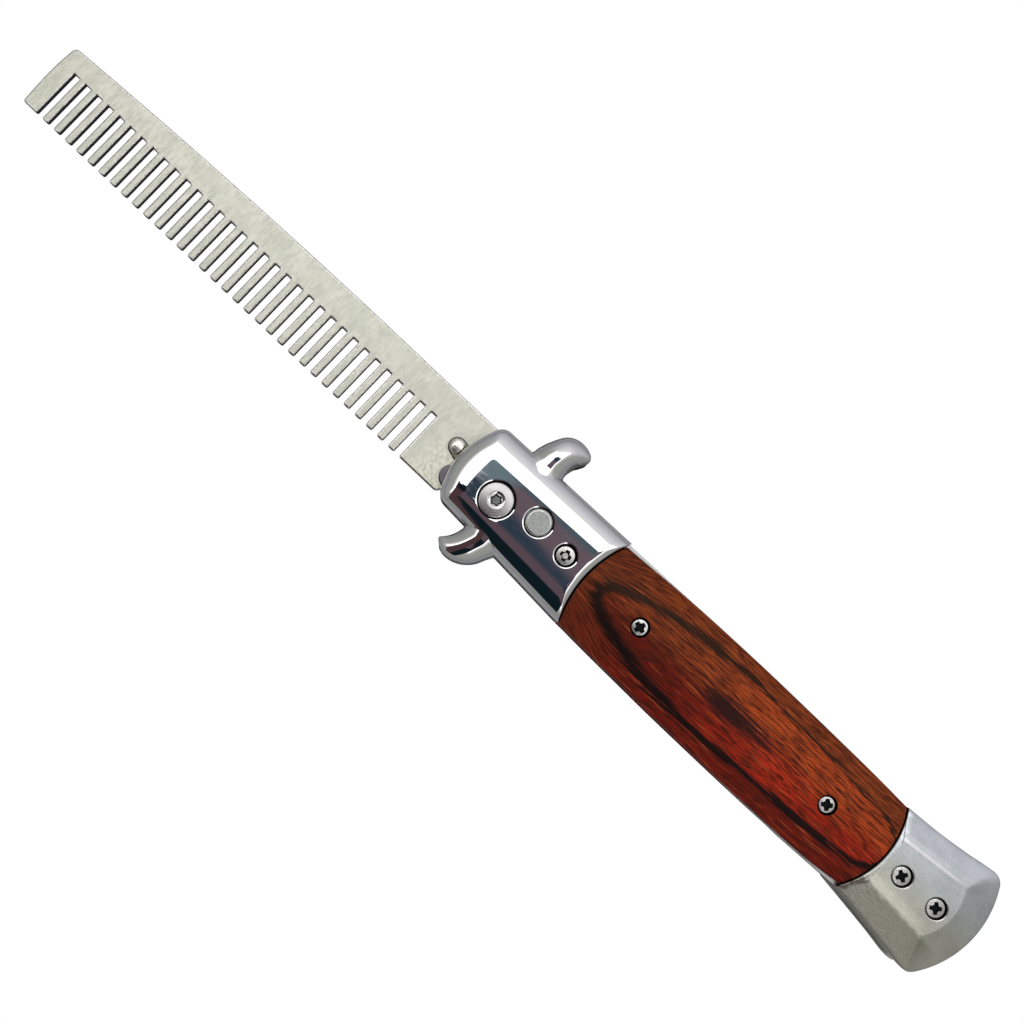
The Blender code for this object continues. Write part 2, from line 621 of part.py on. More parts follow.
def pivot_screw(nickel):
    low, high = PIVOT_HEAD_Z
    profile = [
        (PIVOT_SHAFT_RADIUS, PIVOT_SHAFT_END_Z),
        (PIVOT_SHAFT_RADIUS, low),
        (PIVOT_HEAD_RADIUS, low),
        (PIVOT_HEAD_RADIUS, high - PIVOT_HEAD_CHAMFER),
        (PIVOT_HEAD_RADIUS - PIVOT_HEAD_CHAMFER, high),
    ]
    made = add_object("pivot_screw", *turned(profile, PIVOT_SIDES), nickel)
    star = star_outline()
    recess = loft([ring_at(star, high - LOBE_DRIVE_DEPTH), ring_at(star, high + 0.3)])
    boolean(made, "DIFFERENCE", add_object("pivot_screw_cutter", *recess))


def pivot_nut(nickel):
    """The barrel that the comb turns on, with its plain head in the back bolster."""
    low, high = PIVOT_HEAD_Z
    profile = [
        (PIVOT_HEAD_RADIUS - PIVOT_HEAD_CHAMFER, -high),
        (PIVOT_HEAD_RADIUS, PIVOT_HEAD_CHAMFER - high),
        (PIVOT_HEAD_RADIUS, -low),
        (BARREL_RADIUS, -low),
        (BARREL_RADIUS, low - 0.15),
    ]
    made = add_object("pivot_nut", *turned(profile, PIVOT_SIDES), nickel)
    bore = turned([(BARREL_BORE_RADIUS, -3.8), (BARREL_BORE_RADIUS, 6.0)], PIVOT_SIDES)
    boolean(made, "DIFFERENCE", add_object("pivot_nut_cutter", *bore))


def push_button(nickel):
    low, high = BUTTON_FLANGE_Z
    profile = [
        (BUTTON_FLANGE_RADIUS, low),
        (BUTTON_FLANGE_RADIUS, high),
        (BUTTON_RADIUS, high),
        (BUTTON_RADIUS, BUTTON_TOP_Z - BUTTON_EDGE_HEIGHT),
        (BUTTON_FACE_RADIUS, BUTTON_TOP_Z),
    ]
    add_object("push_button", *turned(profile, PIVOT_SIDES), nickel, BUTTON_AT)


def main():
    clear_scene()
    comb_steel = finish("comb_steel", (0.62, 0.62, 0.55), 0.9, 0.38)
    polished = finish("polished_steel", (0.45, 0.43, 0.46), 1.0, 0.2)
    liner_steel = finish("liner_steel", (0.55, 0.56, 0.57), 1.0, 0.35)
    chrome = finish("bolster_chrome", (0.75, 0.75, 0.76), 1.0, 0.08)
    alloy = finish("pommel_metal", (0.6, 0.61, 0.58), 1.0, 0.25)
    wood = finish("red_wood", (0.32, 0.07, 0.02), 0.0, 0.25)
    nickel = finish("screw_nickel", (0.68, 0.68, 0.66), 1.0, 0.22)
    comb_blade(comb_steel)
    stop_pin(comb_steel)
    back_spacer(liner_steel)
    pivot_screw(nickel)
    pivot_nut(nickel)
    push_button(nickel)
    for face, side in (("front", 1), ("back", -1)):
        tang_plate(face, side, polished)
        liner(face, side, liner_steel)
        bolster(face, side, chrome)
        scale(face, side, wood)
        pommel(face, side, alloy)
        for screw in SCREWS:
            small_screw(screw, face, side, nickel)


main()
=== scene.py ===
"""Looks of a folding pocket comb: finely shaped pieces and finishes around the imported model.

Shapes are worked out in millimetres from the pivot's axis and the comb's middle plane: +X runs to the
pommel, +Y to the comb's spine and +Z to the face with the button. add_piece turns them into metres in the
frame. The handle's two halves are alike, so each shape is made for the front and mirrored for the back.
"""

import json
import math

import bpy
import numpy as np
from mathutils import Matrix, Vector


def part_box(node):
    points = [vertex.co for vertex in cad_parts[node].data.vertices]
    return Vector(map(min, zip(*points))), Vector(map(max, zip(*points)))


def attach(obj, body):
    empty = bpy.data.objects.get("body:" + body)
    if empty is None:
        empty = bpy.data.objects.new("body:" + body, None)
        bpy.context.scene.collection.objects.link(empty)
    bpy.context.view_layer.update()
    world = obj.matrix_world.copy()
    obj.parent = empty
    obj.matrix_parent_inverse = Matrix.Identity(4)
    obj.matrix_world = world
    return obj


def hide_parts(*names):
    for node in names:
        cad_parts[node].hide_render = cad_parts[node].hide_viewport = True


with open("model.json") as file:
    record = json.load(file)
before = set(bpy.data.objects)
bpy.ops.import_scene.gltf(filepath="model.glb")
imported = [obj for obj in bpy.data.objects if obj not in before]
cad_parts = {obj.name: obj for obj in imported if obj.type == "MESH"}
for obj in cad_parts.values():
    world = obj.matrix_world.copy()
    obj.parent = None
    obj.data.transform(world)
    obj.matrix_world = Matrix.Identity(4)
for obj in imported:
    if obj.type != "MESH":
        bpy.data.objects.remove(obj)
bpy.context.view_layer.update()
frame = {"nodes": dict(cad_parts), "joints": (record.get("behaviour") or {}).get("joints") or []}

MM = 0.001
PIVOT = np.array(next(j["pos_m"] for j in frame["joints"] if j["name"] == "comb_pivot")) / MM
FACES = (("front", 1), ("back", -1))
FLOOR_REACH = 3.0
FLOOR_Z = -0.0002

# Shading: edges over CREASE degrees are sharp, and a face over LEVEL in its tilt counts as level
CREASE = 32.0
LEVEL = 0.99999

# Heights over the middle plane, and the gap between neighbours on the handle
COMB_Z = 0.6
TANG_PLATE_Z = (0.7, 1.1)
TANG_BOSS_Z = 1.65
COVER_BASE_Z = 2.8
TABLE_Z = PIVOT[2]
GAP = 0.3

# Comb plate
SLOT_COUNT = 33
SLOT_PITCH = 2.804
SLOT_WIDTH = 1.36
LAST_SLOT_EDGE_X = -18.5
SLOT_END_Y = 3.98
SLOT_CORNER = 0.2
TOOTH_TIP_Y = -6.03
TOOTH_CORNER = 0.36
SPINE_Y = 10.0
SPINE_BEND_X = -28.9
SPINE_BEND_RADIUS = 1480.0
TIP_X = -113.2
TIP_TOP_X = -112.85
TANG_RADIUS = 6.0
COMB_EDGE = 0.2
RUBBED_SLOPE = 0.16
PIVOT_HOLE_RADIUS = 2.15

# Stop pin and the lobes of the tang plates
PIN_AT = (-11.96, 2.65)
PIN_RADIUS = 0.8
PIN_HEAD_RADIUS = 1.45
PIN_HEAD_Z = (1.2, 1.7)
PIN_TAB_RADIUS = 1.75
LOBE_AT = (-8.95, -2.2)
LOBE_RADIUS = 2.3
TANG_BOSS_RADIUS = 4.2
TANG_PLATE_RADIUS = 4.4
TANG_PLATE_EDGE = 0.14

# Joints between bolster, wood and pommel: X = middle + sag * ((Y - centre) / half height)^2
JOINT_CENTRE_Y = 1.4
JOINT_HALF_HEIGHT = 9.6
BOLSTER_BACK = (20.8, 2.2)
WOOD_BACK = (93.54, -2.4)

# Bolster
BOLSTER_FRONT_X = -10.53
BOLSTER_FRONT_TOP = (-7.75, 10.80)
BOLSTER_FRONT_BOTTOM = (-7.9, -6.55)
BOLSTER_CORNER_RADIUS = 1.4
BOLSTER_BACK_Y = (-8.25, 11.26)
BOLSTER_TABLE_X = (-5.5, 19.5)
BOLSTER_TABLE_Y = (-2.5, 5.8)
BOLSTER_TABLE_FRONT_TOP_Y = 5.1
BOLSTER_TABLE_CORNER_RADIUS = 0.8
BOLSTER_WALL_Z = 3.6
BOLSTER_BACK_Z = 5.45
SHOULDER_POWER = 2.6
SHOULDER_LIP = 0.14

# Guard horns, root to tip: front edge X, Y, rear edge X, Y, ridge height
UPPER_HORN = (
    (-2.40, 7.50, 6.95, 7.50, 5.93),
    (-2.20, 8.70, 6.90, 8.80, 5.77),
    (-1.80, 10.20, 6.50, 10.30, 5.60),
    (-1.17, 11.30, 6.05, 11.42, 5.60),
    (-0.95, 12.50, 5.97, 12.20, 5.62),
    (-0.27, 14.35, 6.02, 13.20, 5.64),
    (1.17, 16.96, 6.35, 14.50, 5.36),
    (2.97, 18.18, 6.80, 15.20, 4.90),
    (5.13, 18.36, 7.15, 15.80, 4.40),
    (6.75, 17.82, 7.40, 16.35, 3.95),
    (7.30, 17.25, 7.47, 16.80, 3.55),
)
LOWER_HORN = (
    (-1.60, -4.50, 7.40, -4.50, 5.75),
    (-1.25, -6.30, 6.90, -6.90, 5.60),
    (-0.95, -7.20, 6.45, -7.90, 5.45),
    (-1.10, -8.40, 5.99, -8.78, 5.30),
    (-1.60, -9.73, 5.05, -10.67, 5.10),
    (-2.20, -10.70, 3.42, -12.30, 4.80),
    (-2.88, -11.48, 1.53, -13.22, 4.40),
    (-2.98, -11.75, -0.31, -13.44, 4.00),
    (-2.85, -12.05, -1.71, -13.08, 3.60),
)
HORN_BASE_Z = 1.9
HORN_EDGE_Z = 3.3
HORN_POWER = 2.0

# Wood scale: station X, lower edge Y, upper edge Y
SCALE_EDGES = (
    (20.0, -8.15, 10.15),
    (25.5, -8.38, 10.50),
    (33.0, -8.55, 10.92),
    (39.0, -8.65, 11.18),
    (47.0, -8.77, 11.35),
    (58.0, -8.79, 11.45),
    (68.7, -8.74, 11.40),
    (79.5, -8.56, 11.29),
    (87.0, -8.25, 11.15),
    (94.0, -7.50, 10.90),
)
SCALE_WALL_Z = 3.7
SCALE_CROWN_Z = 5.95
SCALE_CROWN_POWER = 2.3
SCALE_FRONT_GAPS = (0.06, 0.28, 0.36)
SCALE_FRONT_DROPS = (0.8, 0.05)

# Pommel
POMMEL_LOWER_EDGE = ((98.3, -9.13), (104.6, -9.96), (108.7, -10.62), (110.2, -10.74))
POMMEL_LOWER_CORNER = (111.22, -10.83)
POMMEL_UPPER_EDGE = ((110.3, 13.13), (108.0, 12.82), (104.5, 12.2), (98.3, 11.42))
POMMEL_UPPER_CORNER = (112.12, 13.37)
POMMEL_FRONT_Y = (10.93, -8.3)
POMMEL_END_X = 115.7
POMMEL_END_RADIUS = 19.9
POMMEL_END_CENTRE_Y = 1.84
POMMEL_END_ANGLES = (-35.0, 30.0)
POMMEL_TABLE_LOWER = ((94.6, -3.4), (103.5, -3.93), (108.1, -4.2))
POMMEL_TABLE_UPPER = ((108.2, 7.4), (103.5, 6.92), (94.5, 6.0))
POMMEL_TABLE_END_X = 109.9
POMMEL_WALL_Z = 4.95
POMMEL_STRIP_SHARE = 0.27
POMMEL_STRIP_RISE = 0.13
POMMEL_FRONT_RISES = (0.52, 0.70, 0.0)
POMMEL_SLOPE_SHARES = (0.12, 0.3, 0.5, 0.68, 0.745, 0.76, 0.85, 1.0)

# Fasteners: the small screws' nodes and their crosses' turns in degrees come first
SCREWS = (
    ("bolster_screw_{}", 12.0),
    ("scale_screw_{}_1", -16.5),
    ("scale_screw_{}_2", 33.0),
    ("pommel_screw_{}_1", -32.0),
    ("pommel_screw_{}_2", 34.0),
)
SCREW_SEAT_RADII = {"bolster": 2.12, "scale": 1.85, "pommel": 2.03}
SCREW_HEAD_GROWTH = {"bolster": 0.28, "scale": 0.0, "pommel": 0.05}
SCREW_HEAD_HEIGHT = 1.2
SCREW_SEAT_DEPTH = 0.15
SCREW_SHAFT_RADIUS = 0.85
SCREW_TIP_Z = 1.95
SCREW_BORE_RADIUS = 1.0
SEAT_BORE_Z = 1.0
CUTTER_TOP_Z = 8.0
CROSS_REACH = {"bolster": 0.68, "scale": 0.80, "pommel": 0.72}
CROSS_WIDTH = {"bolster": 0.21, "scale": 0.25, "pommel": 0.2}
CROSS_DEPTH = 0.6
PIVOT_SIDES = 96
PIVOT_HEAD_RADIUS = 3.25
PIVOT_SEAT_RADIUS = 3.5
PIVOT_HEAD_Z = (4.75, 5.95)
PIVOT_SEAT_Z = 4.6
PIVOT_HEAD_FALL = 0.016
BARREL_RADIUS = 2.0
BARREL_BORE_RADIUS = 1.45
PIVOT_SHAFT_RADIUS = 1.3
LOBE_DRIVE_RADII = (1.12, 0.84)
LOBE_DRIVE_TURN = 13.5
LOBE_DRIVE_DEPTH = 0.7
BUTTON_AT = (8.24, 2.26)
BUTTON_RADIUS = 2.48
BUTTON_TOP_Z = 6.6
BUTTON_FLANGE_RADIUS = 3.2
BUTTON_FLANGE_Z = (1.95, 2.65)
BUTTON_BORE_RADIUS = 2.72
LIP = 0.22
POMMEL_LIP = 0.18
LIP_FALL = 0.036


def grid_faces(rows, columns, ring):
    """Four-sided faces of a grid numbered row by row. In a ring the last column meets the first."""
    row = np.arange(rows - 1)[:, None] * columns
    column = np.arange(columns if ring else columns - 1)[None, :]
    after = (column + 1) % columns
    corners = [row + column, row + after, row + columns + after, row + columns + column]
    return np.stack(corners, -1).reshape(-1, 4)


def mirrored(points, faces, side):
    """The same solid for the front (side 1), or mirrored through the middle plane for the back (side -1)."""
    if side > 0:
        return points, faces
    return points * (1.0, 1.0, -1.0), [face[::-1] for face in faces]


def ring_solid(rings, side=1):
    """A closed solid with flat ends through rings of equal length, which run anticlockwise as seen from above
    and are listed from low to high."""
    rings = np.asarray(rings, float)
    rows, columns = rings.shape[:2]
    faces = grid_faces(rows, columns, True).tolist()
    faces.append(list(range(columns))[::-1])
    faces.append(list(range((rows - 1) * columns, rows * columns)))
    return mirrored(rings.reshape(-1, 3), faces, side)


def ring_at(outline, z):
    return np.column_stack([outline, np.full(len(outline), z)])


def field_solid(x, y, z, base_z, side=1):
    """A solid under a grid of heights: upright walls drop from its rim to a flat foot."""
    rows, columns = x.shape
    top = np.column_stack([x.ravel(), y.ravel(), z.ravel()])
    i, j = np.arange(rows), np.arange(columns)
    rim = np.concatenate([
        i * columns,
        (rows - 1) * columns + j[1:],
        i[-2::-1] * columns + columns - 1,
        j[-2:0:-1],
    ])
    foot = top[rim] * (1.0, 1.0, 0.0) + (0.0, 0.0, base_z)
    first = rows * columns
    k = np.arange(len(rim))
    after = (k + 1) % len(rim)
    faces = grid_faces(rows, columns, False)[:, ::-1].tolist()
    faces += np.column_stack([first + k, first + after, rim[after], rim]).tolist()
    faces.append((first + k)[::-1].tolist())
    return mirrored(np.concatenate([top, foot]), faces, side)


def arc(centre, radius, start, end, count):
    angles = np.radians(np.linspace(start, end, count))
    return np.column_stack([centre[0] + radius * np.cos(angles), centre[1] + radius * np.sin(angles)])


def turned(profile, sides, at=(0.0, 0.0), side=1):
    """A solid of revolution: each radius, height pair of the profile, low to high, is one ring."""
    unit = arc((0.0, 0.0), 1.0, 0.0, 360.0 - 360.0 / sides, sides)
    return ring_solid([ring_at(unit * radius + at, z) for radius, z in profile], side)


def rod(radius, low, high, at=(0.0, 0.0), side=1, sides=48):
    return turned([(radius, low), (radius, high)], sides, at, side)


def rounded_rim(radius, depth, low, rise, end=90.0, count=8):
    """Radius, height pairs up a rounded edge: part of a quarter ellipse from the wall to the end angle."""
    turn = np.radians(np.linspace(0.0, end, count))
    return list(zip(radius - depth * (1 - np.cos(turn)), low + rise * np.sin(turn)))


def smooth_curve(points, count):
    """A curve through all the points: cubic pieces whose slopes are those of the points' own differences."""
    points = np.asarray(points, float)
    slopes = np.gradient(points, axis=0)
    t = np.linspace(0.0, len(points) - 1.0, count)
    i = np.minimum(t.astype(int), len(points) - 2)
    f = (t - i)[:, None]
    return (
        (2 * f**3 - 3 * f**2 + 1) * points[i]
        + (f**3 - 2 * f**2 + f) * slopes[i]
        + (3 * f**2 - 2 * f**3) * points[i + 1]
        + (f**3 - f**2) * slopes[i + 1]
    )


def parabola(start, corner, end, count):
    """The parabola that leaves its start and meets its end along their lines to the corner."""
    t = np.linspace(0.0, 1.0, count)[:, None]
    return (1 - t) ** 2 * np.asarray(start) + 2 * t * (1 - t) * np.asarray(corner) + t**2 * np.asarray(end)


def round_corner(before, corner, after, radius, count):
    """A parabola that leaves the corner's two sides a radius away from it."""
    before, corner, after = (np.asarray(p, float) for p in (before, corner, after))
    start = corner + (before - corner) * radius / np.linalg.norm(before - corner)
    end = corner + (after - corner) * radius / np.linalg.norm(after - corner)
    return parabola(start, corner, end, count)


def sweep(count):
    """Numbers from -1 to 1 that crowd towards both ends, as the cosines of even angles do."""
    return -np.cos(np.linspace(0.0, math.pi, count))


def superellipse(share, power):
    """Height, from 1 to 0, at a share of the half width: (1 - |share|^power)^(1/power)."""
    return np.maximum(0.0, 1.0 - np.abs(share) ** power) ** (1.0 / power)


def inset(outline, distance):
    """An anticlockwise outline moved inwards: each point goes along the mitre of its two sides' normals."""
    ahead = np.roll(outline, -1, axis=0) - outline
    ahead /= np.linalg.norm(ahead, axis=1)[:, None]
    normal = np.column_stack([ahead[:, 1], -ahead[:, 0]])
    before = np.roll(normal, 1, axis=0)
    mitre = (normal + before) / (1.0 + (normal * before).sum(1))[:, None]
    return outline - mitre * distance


def edge_profile(low, high, radius, steps):
    """Inset and height pairs of a plate's edge: at each face a quarter circle, a rubbed facet as wide as half
    of its radius, and a narrow flat rim."""
    turn = np.linspace(0.0, math.pi / 2, steps + 1)
    rubbed = high - 0.5 * radius * RUBBED_SLOPE
    upper = np.column_stack([radius * (1 - np.cos(turn)), rubbed - radius * (1 - np.sin(turn))])
    upper = np.concatenate([upper, [(1.5 * radius, high), (1.5 * radius + 0.04, high)]])
    lower = upper[::-1] * (1.0, -1.0) + (0.0, low + high)
    return np.concatenate([lower, upper])


def rounded_plate(outline, low, high, radius, steps, side=1):
    """A flat plate with rounded edges: its outline carried up the edge's profile."""
    rings = [ring_at(inset(outline, d), z) for d, z in edge_profile(low, high, radius, steps)]
    return ring_solid(rings, side)


def add_piece(name, solid, materials):
    """A mesh object from a millimetre solid, shaded smooth except over its sharp edges."""
    points, faces = solid
    mesh = bpy.data.meshes.new(name)
    mesh.from_pydata(((np.asarray(points) + PIVOT) * MM).tolist(), [], faces)
    mesh.update()
    for material in materials:
        mesh.materials.append(material)
    made = bpy.data.objects.new(name, mesh)
    bpy.context.scene.collection.objects.link(made)
    smooth(made)
    return made


def smooth(made, crease=CREASE):
    """Smooth shading that breaks over sharp edges, and round level faces so that they mirror as flats."""
    mesh = made.data
    mesh.shade_smooth()
    mesh.set_sharp_from_angle(angle=math.radians(crease))
    sides = np.zeros(len(mesh.polygons), int)
    mesh.polygons.foreach_get("loop_total", sides)
    edges = np.zeros(len(mesh.loops), int)
    mesh.loops.foreach_get("edge_index", edges)
    level = np.repeat(face_tilt(made) > LEVEL, sides)
    beside = np.bincount(edges[level], minlength=len(mesh.edges))
    sharp = np.zeros(len(mesh.edges), bool)
    marks = mesh.attributes.get("sharp_edge") or mesh.attributes.new("sharp_edge", "BOOLEAN", "EDGE")
    marks.data.foreach_get("value", sharp)
    marks.data.foreach_set("value", sharp | (beside == 1))


def face_tilt(made, axis=2):
    """How far each face of a piece looks along an axis, from 0 for across it to 1 for straight along it."""
    normals = np.zeros(len(made.data.polygons) * 3)
    made.data.polygons.foreach_get("normal", normals)
    return np.abs(normals.reshape(-1, 3)[:, axis])


def share_out(made, slots):
    made.data.polygons.foreach_set("material_index", np.asarray(slots, np.int32))


def cut(made, cutters, operation="DIFFERENCE", crease=CREASE, steep=0.6):
    """Cuts the solids out of a piece, or joins them to it, for good. New faces keep the cutter's own finish.
    A second finish given with it goes on sides whose tilt is under steep, and a third on its last face."""
    for solid, *materials in cutters:
        helper = add_piece(made.name + "_cutter", solid, materials)
        slots = (face_tilt(helper) < steep) * min(len(materials) - 1, 1)
        slots[-1] = len(materials) - 1
        share_out(helper, slots)
        modifier = made.modifiers.new("cut", "BOOLEAN")
        modifier.operation = operation
        modifier.solver = "EXACT"
        modifier.material_mode = "TRANSFER"
        modifier.object = helper
        bpy.context.view_layer.update()
        graph = bpy.context.evaluated_depsgraph_get()
        result = bpy.data.meshes.new_from_object(made.evaluated_get(graph))
        if len(result.polygons) < len(made.data.polygons) / 2:
            raise RuntimeError(f"the cut took {made.name} away")
        made.modifiers.clear()
        old, made.data = made.data, result
        result.name = made.name
        bpy.data.meshes.remove(old)
        bpy.data.objects.remove(helper, do_unlink=True)
    smooth(made, crease)


def dress(made, body, node):
    """The piece moves with its body and stands for the CAD node, which is hidden."""
    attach(made, body)
    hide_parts(node)


class Value:
    """The output of a node, for sums that are written as with numbers."""

    def __init__(self, graph, socket):
        self.graph, self.socket = graph, socket

    def __add__(self, other):
        return self.graph.math("ADD", self, other)

    def __sub__(self, other):
        return self.graph.math("SUBTRACT", self, other)

    def __mul__(self, other):
        return self.graph.math("MULTIPLY", self, other)

    def __truediv__(self, other):
        return self.graph.math("DIVIDE", self, other)

    def __abs__(self):
        return self.graph.math("ABSOLUTE", self)


class Graph:
    """Short calls for the nodes that make a pattern."""

    def __init__(self, tree):
        self.nodes, self.links = tree.nodes, tree.links

    def add(self, kind, output=0, inputs=(), **settings):
        """One of a new node's outputs, after its settings are made and its inputs fed."""
        node = self.nodes.new("ShaderNode" + kind)
        for name, setting in settings.items():
            setattr(node, name, setting)
        for socket, value in dict(inputs).items():
            self.feed(node, socket, value)
        return Value(self, node.outputs[output])

    def feed(self, node, socket, value):
        """A constant goes on the node's own socket, and a pattern is linked to it."""
        if isinstance(value, Value):
            self.links.new(value.socket, node.inputs[socket])
        else:
            node.inputs[socket].default_value = value

    def place(self, centre=(0.0, 0.0), stretch=(1.0, 1.0, 1.0), turn=0.0):
        """Object coordinates in millimetres from a centre near the pivot, turned about Z, then stretched."""
        to_centre = tuple(-(PIVOT + (*centre, 0.0)))
        point = self.add("TexCoord", "Object")
        point = self.add("Mapping", 0, {"Vector": point, "Location": to_centre, "Scale": (1 / MM,) * 3})
        point = self.add("Mapping", 0, {"Vector": point, "Rotation": (0.0, 0.0, math.radians(-turn))})
        return self.add("VectorMath", 0, {0: point, 1: stretch}, operation="MULTIPLY")

    def distance(self, centre, stretch=(1.0, 1.0), turn=0.0):
        """Distance from a centre as seen from above, in stretched millimetres."""
        place = self.place(centre, (*stretch, 0.0), turn)
        return self.add("VectorMath", "Value", {0: place}, operation="LENGTH")

    def axis(self, vector, name):
        return self.add("SeparateXYZ", name, {0: vector})

    def join(self, x, y):
        return self.add("CombineXYZ", 0, {0: x, 1: y})

    def math(self, operation, a, b=0.0):
        return self.add("Math", 0, {0: a, 1: b}, operation=operation)

    def noise(self, vector, scale, detail=3.0, roughness=0.5):
        inputs = {"Vector": vector, "Scale": scale, "Detail": detail, "Roughness": roughness}
        return self.add("TexNoise", "Fac", inputs)

    def span(self, value, low, high, to_low=0.0, to_high=1.0, kind="SMOOTHSTEP"):
        """Value brought from low..high to to_low..to_high, held and eased at the ends."""
        inputs = enumerate((value, low, high, to_low, to_high))
        return self.add("MapRange", "Result", inputs, interpolation_type=kind)

    def ramp(self, value, low, high, to_low, to_high):
        """As span, but straight up to its ends."""
        return self.span(value, low, high, to_low, to_high, "LINEAR")

    def fall(self, value, low, high, share=1.0):
        """The share up to low, and nothing from high on."""
        return self.span(value, low, high, share, 0.0)

    def blend(self, share, a, b):
        """Colour a, with b laid over it by the share."""
        a, b = (colour if isinstance(colour, Value) else (*colour, 1.0) for colour in (a, b))
        return self.add("Mix", 2, {0: share, 6: a, 7: b}, data_type="RGBA")


class Finish(Graph):
    """One node material."""

    def __init__(self, name, metallic, roughness):
        self.material = bpy.data.materials.new(name)
        self.material.use_nodes = True
        super().__init__(self.material.node_tree)
        self.shader = self.nodes["Principled BSDF"]
        self.put("Metallic", metallic)
        self.put("Roughness", roughness)

    def put(self, socket, value):
        self.feed(self.shader, socket, value)

    def bump(self, height, strength, distance=0.02):
        """Height in millimetres times distance, as a bump on what is there already."""
        inputs = {"Height": height, "Strength": strength, "Distance": distance * MM}
        for link in self.shader.inputs["Normal"].links:
            inputs["Normal"] = Value(self, link.from_socket)
        self.put("Normal", self.add("Bump", 0, inputs))


def comb_face_finish():
    """Satin steel: a fine cross brush, faint greenish and pinkish clouds, a few hairline scratches, and pale
    blotches on the heel."""
    f = Finish("comb_face", 0.7, 0.4)
    brush = f.noise(f.place(stretch=(1.0, 0.2, 1.0), turn=-6.0), 2.6, 4.0, 0.65)
    clouds = f.noise(f.place(), 0.22, 3.0, 0.55)
    grain = f.noise(f.place(), 3.2, 3.0, 0.7)
    blotches = f.span(f.noise(f.place(stretch=(1.0, 0.7, 1.0), turn=30.0), 1.6, 2.0), 0.42, 0.62)
    heel = f.fall(f.distance((-11.5, -3.0), (1.0, 0.8)), 2.5, 6.5)
    scratch = f.noise(f.place(stretch=(0.2, 2.2, 1.0), turn=28.0), 0.9, 1.0)
    colour = f.blend(f.span(clouds, 0.35, 0.65), (0.78, 0.80, 0.69), (0.87, 0.86, 0.77))
    colour = f.blend(f.span(brush, 0.35, 0.65, 0.0, 0.5), colour, (0.62, 0.64, 0.56))
    colour = f.blend(f.span(grain, 0.3, 0.7, 0.0, 0.35), colour, (0.66, 0.67, 0.60))
    colour = f.blend(blotches * heel * 0.9, colour, (1.0, 0.98, 0.80))
    colour = f.blend(f.fall(abs(scratch - 0.36), 0.0, 0.006, 0.5), colour, (0.30, 0.29, 0.27))
    f.put("Base Color", colour)
    f.put("Roughness", f.span(brush, 0.3, 0.7, 0.34, 0.46))
    f.bump(brush, 0.35, 0.01)
    return f.material


def burnished_finish():
    """Painted highlight: steel brighter than the comb's face, for its edges and the stop pin, with small dull
    dents.
    """
    f = Finish("steel_painted_highlight", 1.0, 0.25)
    dents = f.noise(f.place(), 1.8, 3.0, 0.6)
    f.put("Base Color", f.blend(f.span(dents, 0.45, 0.65), (0.98, 0.98, 0.94), (0.60, 0.60, 0.52)))
    return f.material


def comb_wall_finish():
    """The punched edges: dull, and blue-black as painted shade, with fine marks across."""
    f = Finish("comb_wall", 0.6, 0.5)
    marks = f.noise(f.place(stretch=(1.0, 1.0, 0.2)), 5.0)
    f.put("Base Color", f.blend(marks, (0.010, 0.012, 0.018), (0.05, 0.055, 0.07)))
    f.bump(marks, 0.3)
    return f.material


def chrome_finish():
    """Mirror chrome over a hand-buffed casting: hardly a wave, with a hazy bloom and a few small specks."""
    f = Finish("bolster_chrome", 1.0, 0.05)
    specks = f.span(f.noise(f.place(), 2.6, 1.0), 0.76, 0.80)
    haze = f.noise(f.place(stretch=(0.25, 1.0, 1.0), turn=8.0), 1.3, 4.0, 0.6)
    f.put("Base Color", f.blend(specks, (0.80, 0.80, 0.82), (0.5, 0.40, 0.36)))
    f.put("Roughness", f.span(haze, 0.42, 0.75, 0.02, 0.06))
    f.bump(f.noise(f.place(), 0.4, 1.0), 0.2, 0.003)
    return f.material


def as_cast_finish():
    """The horns' sides: plated over the rough casting, so rougher, and coloured darker than the crown as
    painted shade.
    """
    f = Finish("horn_sides", 1.0, 0.45)
    pits = f.noise(f.place(), 3.0, 3.0, 0.6)
    f.put("Base Color", f.blend(f.span(pits, 0.35, 0.65), (0.30, 0.30, 0.31), (0.46, 0.46, 0.47)))
    f.bump(pits, 0.3)
    return f.material


